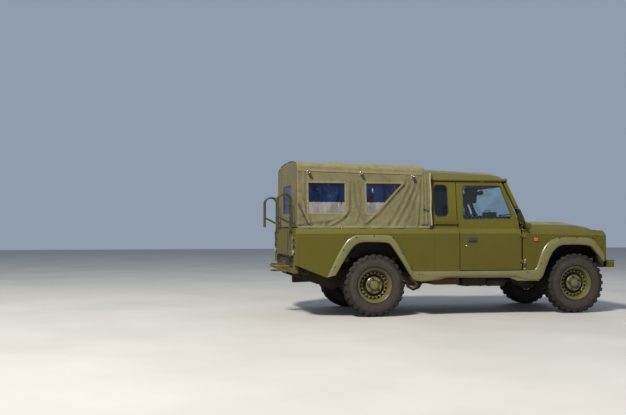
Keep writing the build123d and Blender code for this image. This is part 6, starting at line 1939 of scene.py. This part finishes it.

# Windows of the cover: clear plastic sheet sewn behind the openings, painted dark blue above as the
# shade inside the cover and the sky it reflects, and a second layer, clouded and creased, folded up
# behind the lower part.


def plastic_film(name, colour, second, rough, crease):
    """Limp window plastic: two tones in level patches, pale streaks painted as reflections,
    scratches, and a creased, glossy face.
    """
    material, tree, shader, where = new_material(name)
    tall = put(tree, "Mapping", {"Vector": where, "Scale": (6.5, 6.5, 2.4)}).outputs[0]
    tone = ranged(tree, cloud(tree, tall, 1.3, 3.5, 0.55, 1.0), 0.36, 0.58)
    base = mixed(tree, tone, colour, second)
    # Painted reflection: pale bluish streaks, drawn out upwards.
    painted_reflection = ranged(tree, cloud(tree, tall, 0.9, 4.0, 0.6, 2.0), 0.6, 0.72, 0.0, 0.22)
    base = mixed(tree, painted_reflection, base, (0.12, 0.16, 0.26, 1))
    scratch = put(tree, "Mapping",
                  {"Vector": where, "Scale": (30.0, 30.0, 6.0),
                   "Rotation": (0.3, 0.5, 0.2)}).outputs[0]
    marks = ranged(tree, cloud(tree, scratch, 1.0, 3.0), 0.68, 0.74, 0.0, 0.4)
    base = mixed(tree, marks, base, (0.62, 0.61, 0.58, 1))
    # The top edge lies in the shade of the cover's roof.
    shadow = ranged(tree, part_of(tree, where, 2), 1.655, 1.695, 0.0, 0.85)
    base = mixed(tree, shadow, base, (0.003, 0.003, 0.006, 1))
    wave = relief(tree, cloud(tree, where, 11.0, 4.0, 0.5, 1.0), crease, 0.012)
    fill(tree, shader, {"Base Color": base, "Specular IOR Level": 0.32, "Coat Weight": 0.05,
                        "Roughness": ranged(tree, tone, 0.0, 1.0, rough, rough + 0.15),
                        "Coat Roughness": 0.1, "Normal": wave})
    return material


# The upper film's near-black and blue tones are painted shade and a painted blue reflection.
blue_film = plastic_film("blue_film", (0.0012, 0.0022, 0.006, 1), (0.0025, 0.01, 0.052, 1), 0.14,
                         0.35)
cloudy_film = plastic_film("cloudy_film", (0.13, 0.122, 0.117, 1), (0.205, 0.195, 0.19, 1), 0.3,
                           0.8)
fold_z = 1.494
blue, cloudy = bmesh.new(), bmesh.new()
for sign in (1, -1):
    for first, last in (rear_window, front_window):
        for film, z0, z1, inset in ((blue, fold_z - 0.02, top_z + 0.01, 0.006),
                                    (cloudy, low_z - 0.01, fold_z, 0.01)):
            net = []
            for row in range(13):
                z = z0 + (z1 - z0) * row / 12
                end = last if last < 0 else slanting_edge(z) + 0.012
                line = []
                for c in range(29):
                    along = first - 0.008 + (end - first + 0.016) * c / 28
                    y = foot_y - (foot_y - seam_y) * (z - cover_foot_z) / side_rise
                    ripple = 0.0016 * math.sin(along * 23 + 2.5 * math.sin(z * 7) + first * 7)
                    if film is cloudy:
                        creased = math.sin(along * 95 + 3 * math.sin(z * 14 + first))
                        ripple = 0.0045 * creased * ease(z, 1.33, 1.4)
                    line.append(film.verts.new((along + rear_axle,
                                                sign * (y - inset + ripple * 0.6), z)))
                net.append(line)
            skinned(film, net, closed=False)
for x, z0, z1, span in ((cover_rear_x + 0.012, 1.32, 1.71, 0.34),
                        (cover_nose_x - 0.016, 1.26, 1.67, 0.37)):
    net = []
    for row in range(11):
        z = z0 + (z1 - z0) * row / 10
        net.append([blue.verts.new((x + 0.002 * math.sin(c * 0.9 + z * 20),
                                    -span + 2 * span * c / 24, z)) for c in range(25)])
    skinned(blue, net, closed=False)
blue_panes = made("cover_window_films", blue, blue_film, smooth=60)
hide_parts("canopy_windows")
made("cover_window_lower_films", cloudy, cloudy_film, smooth=60)
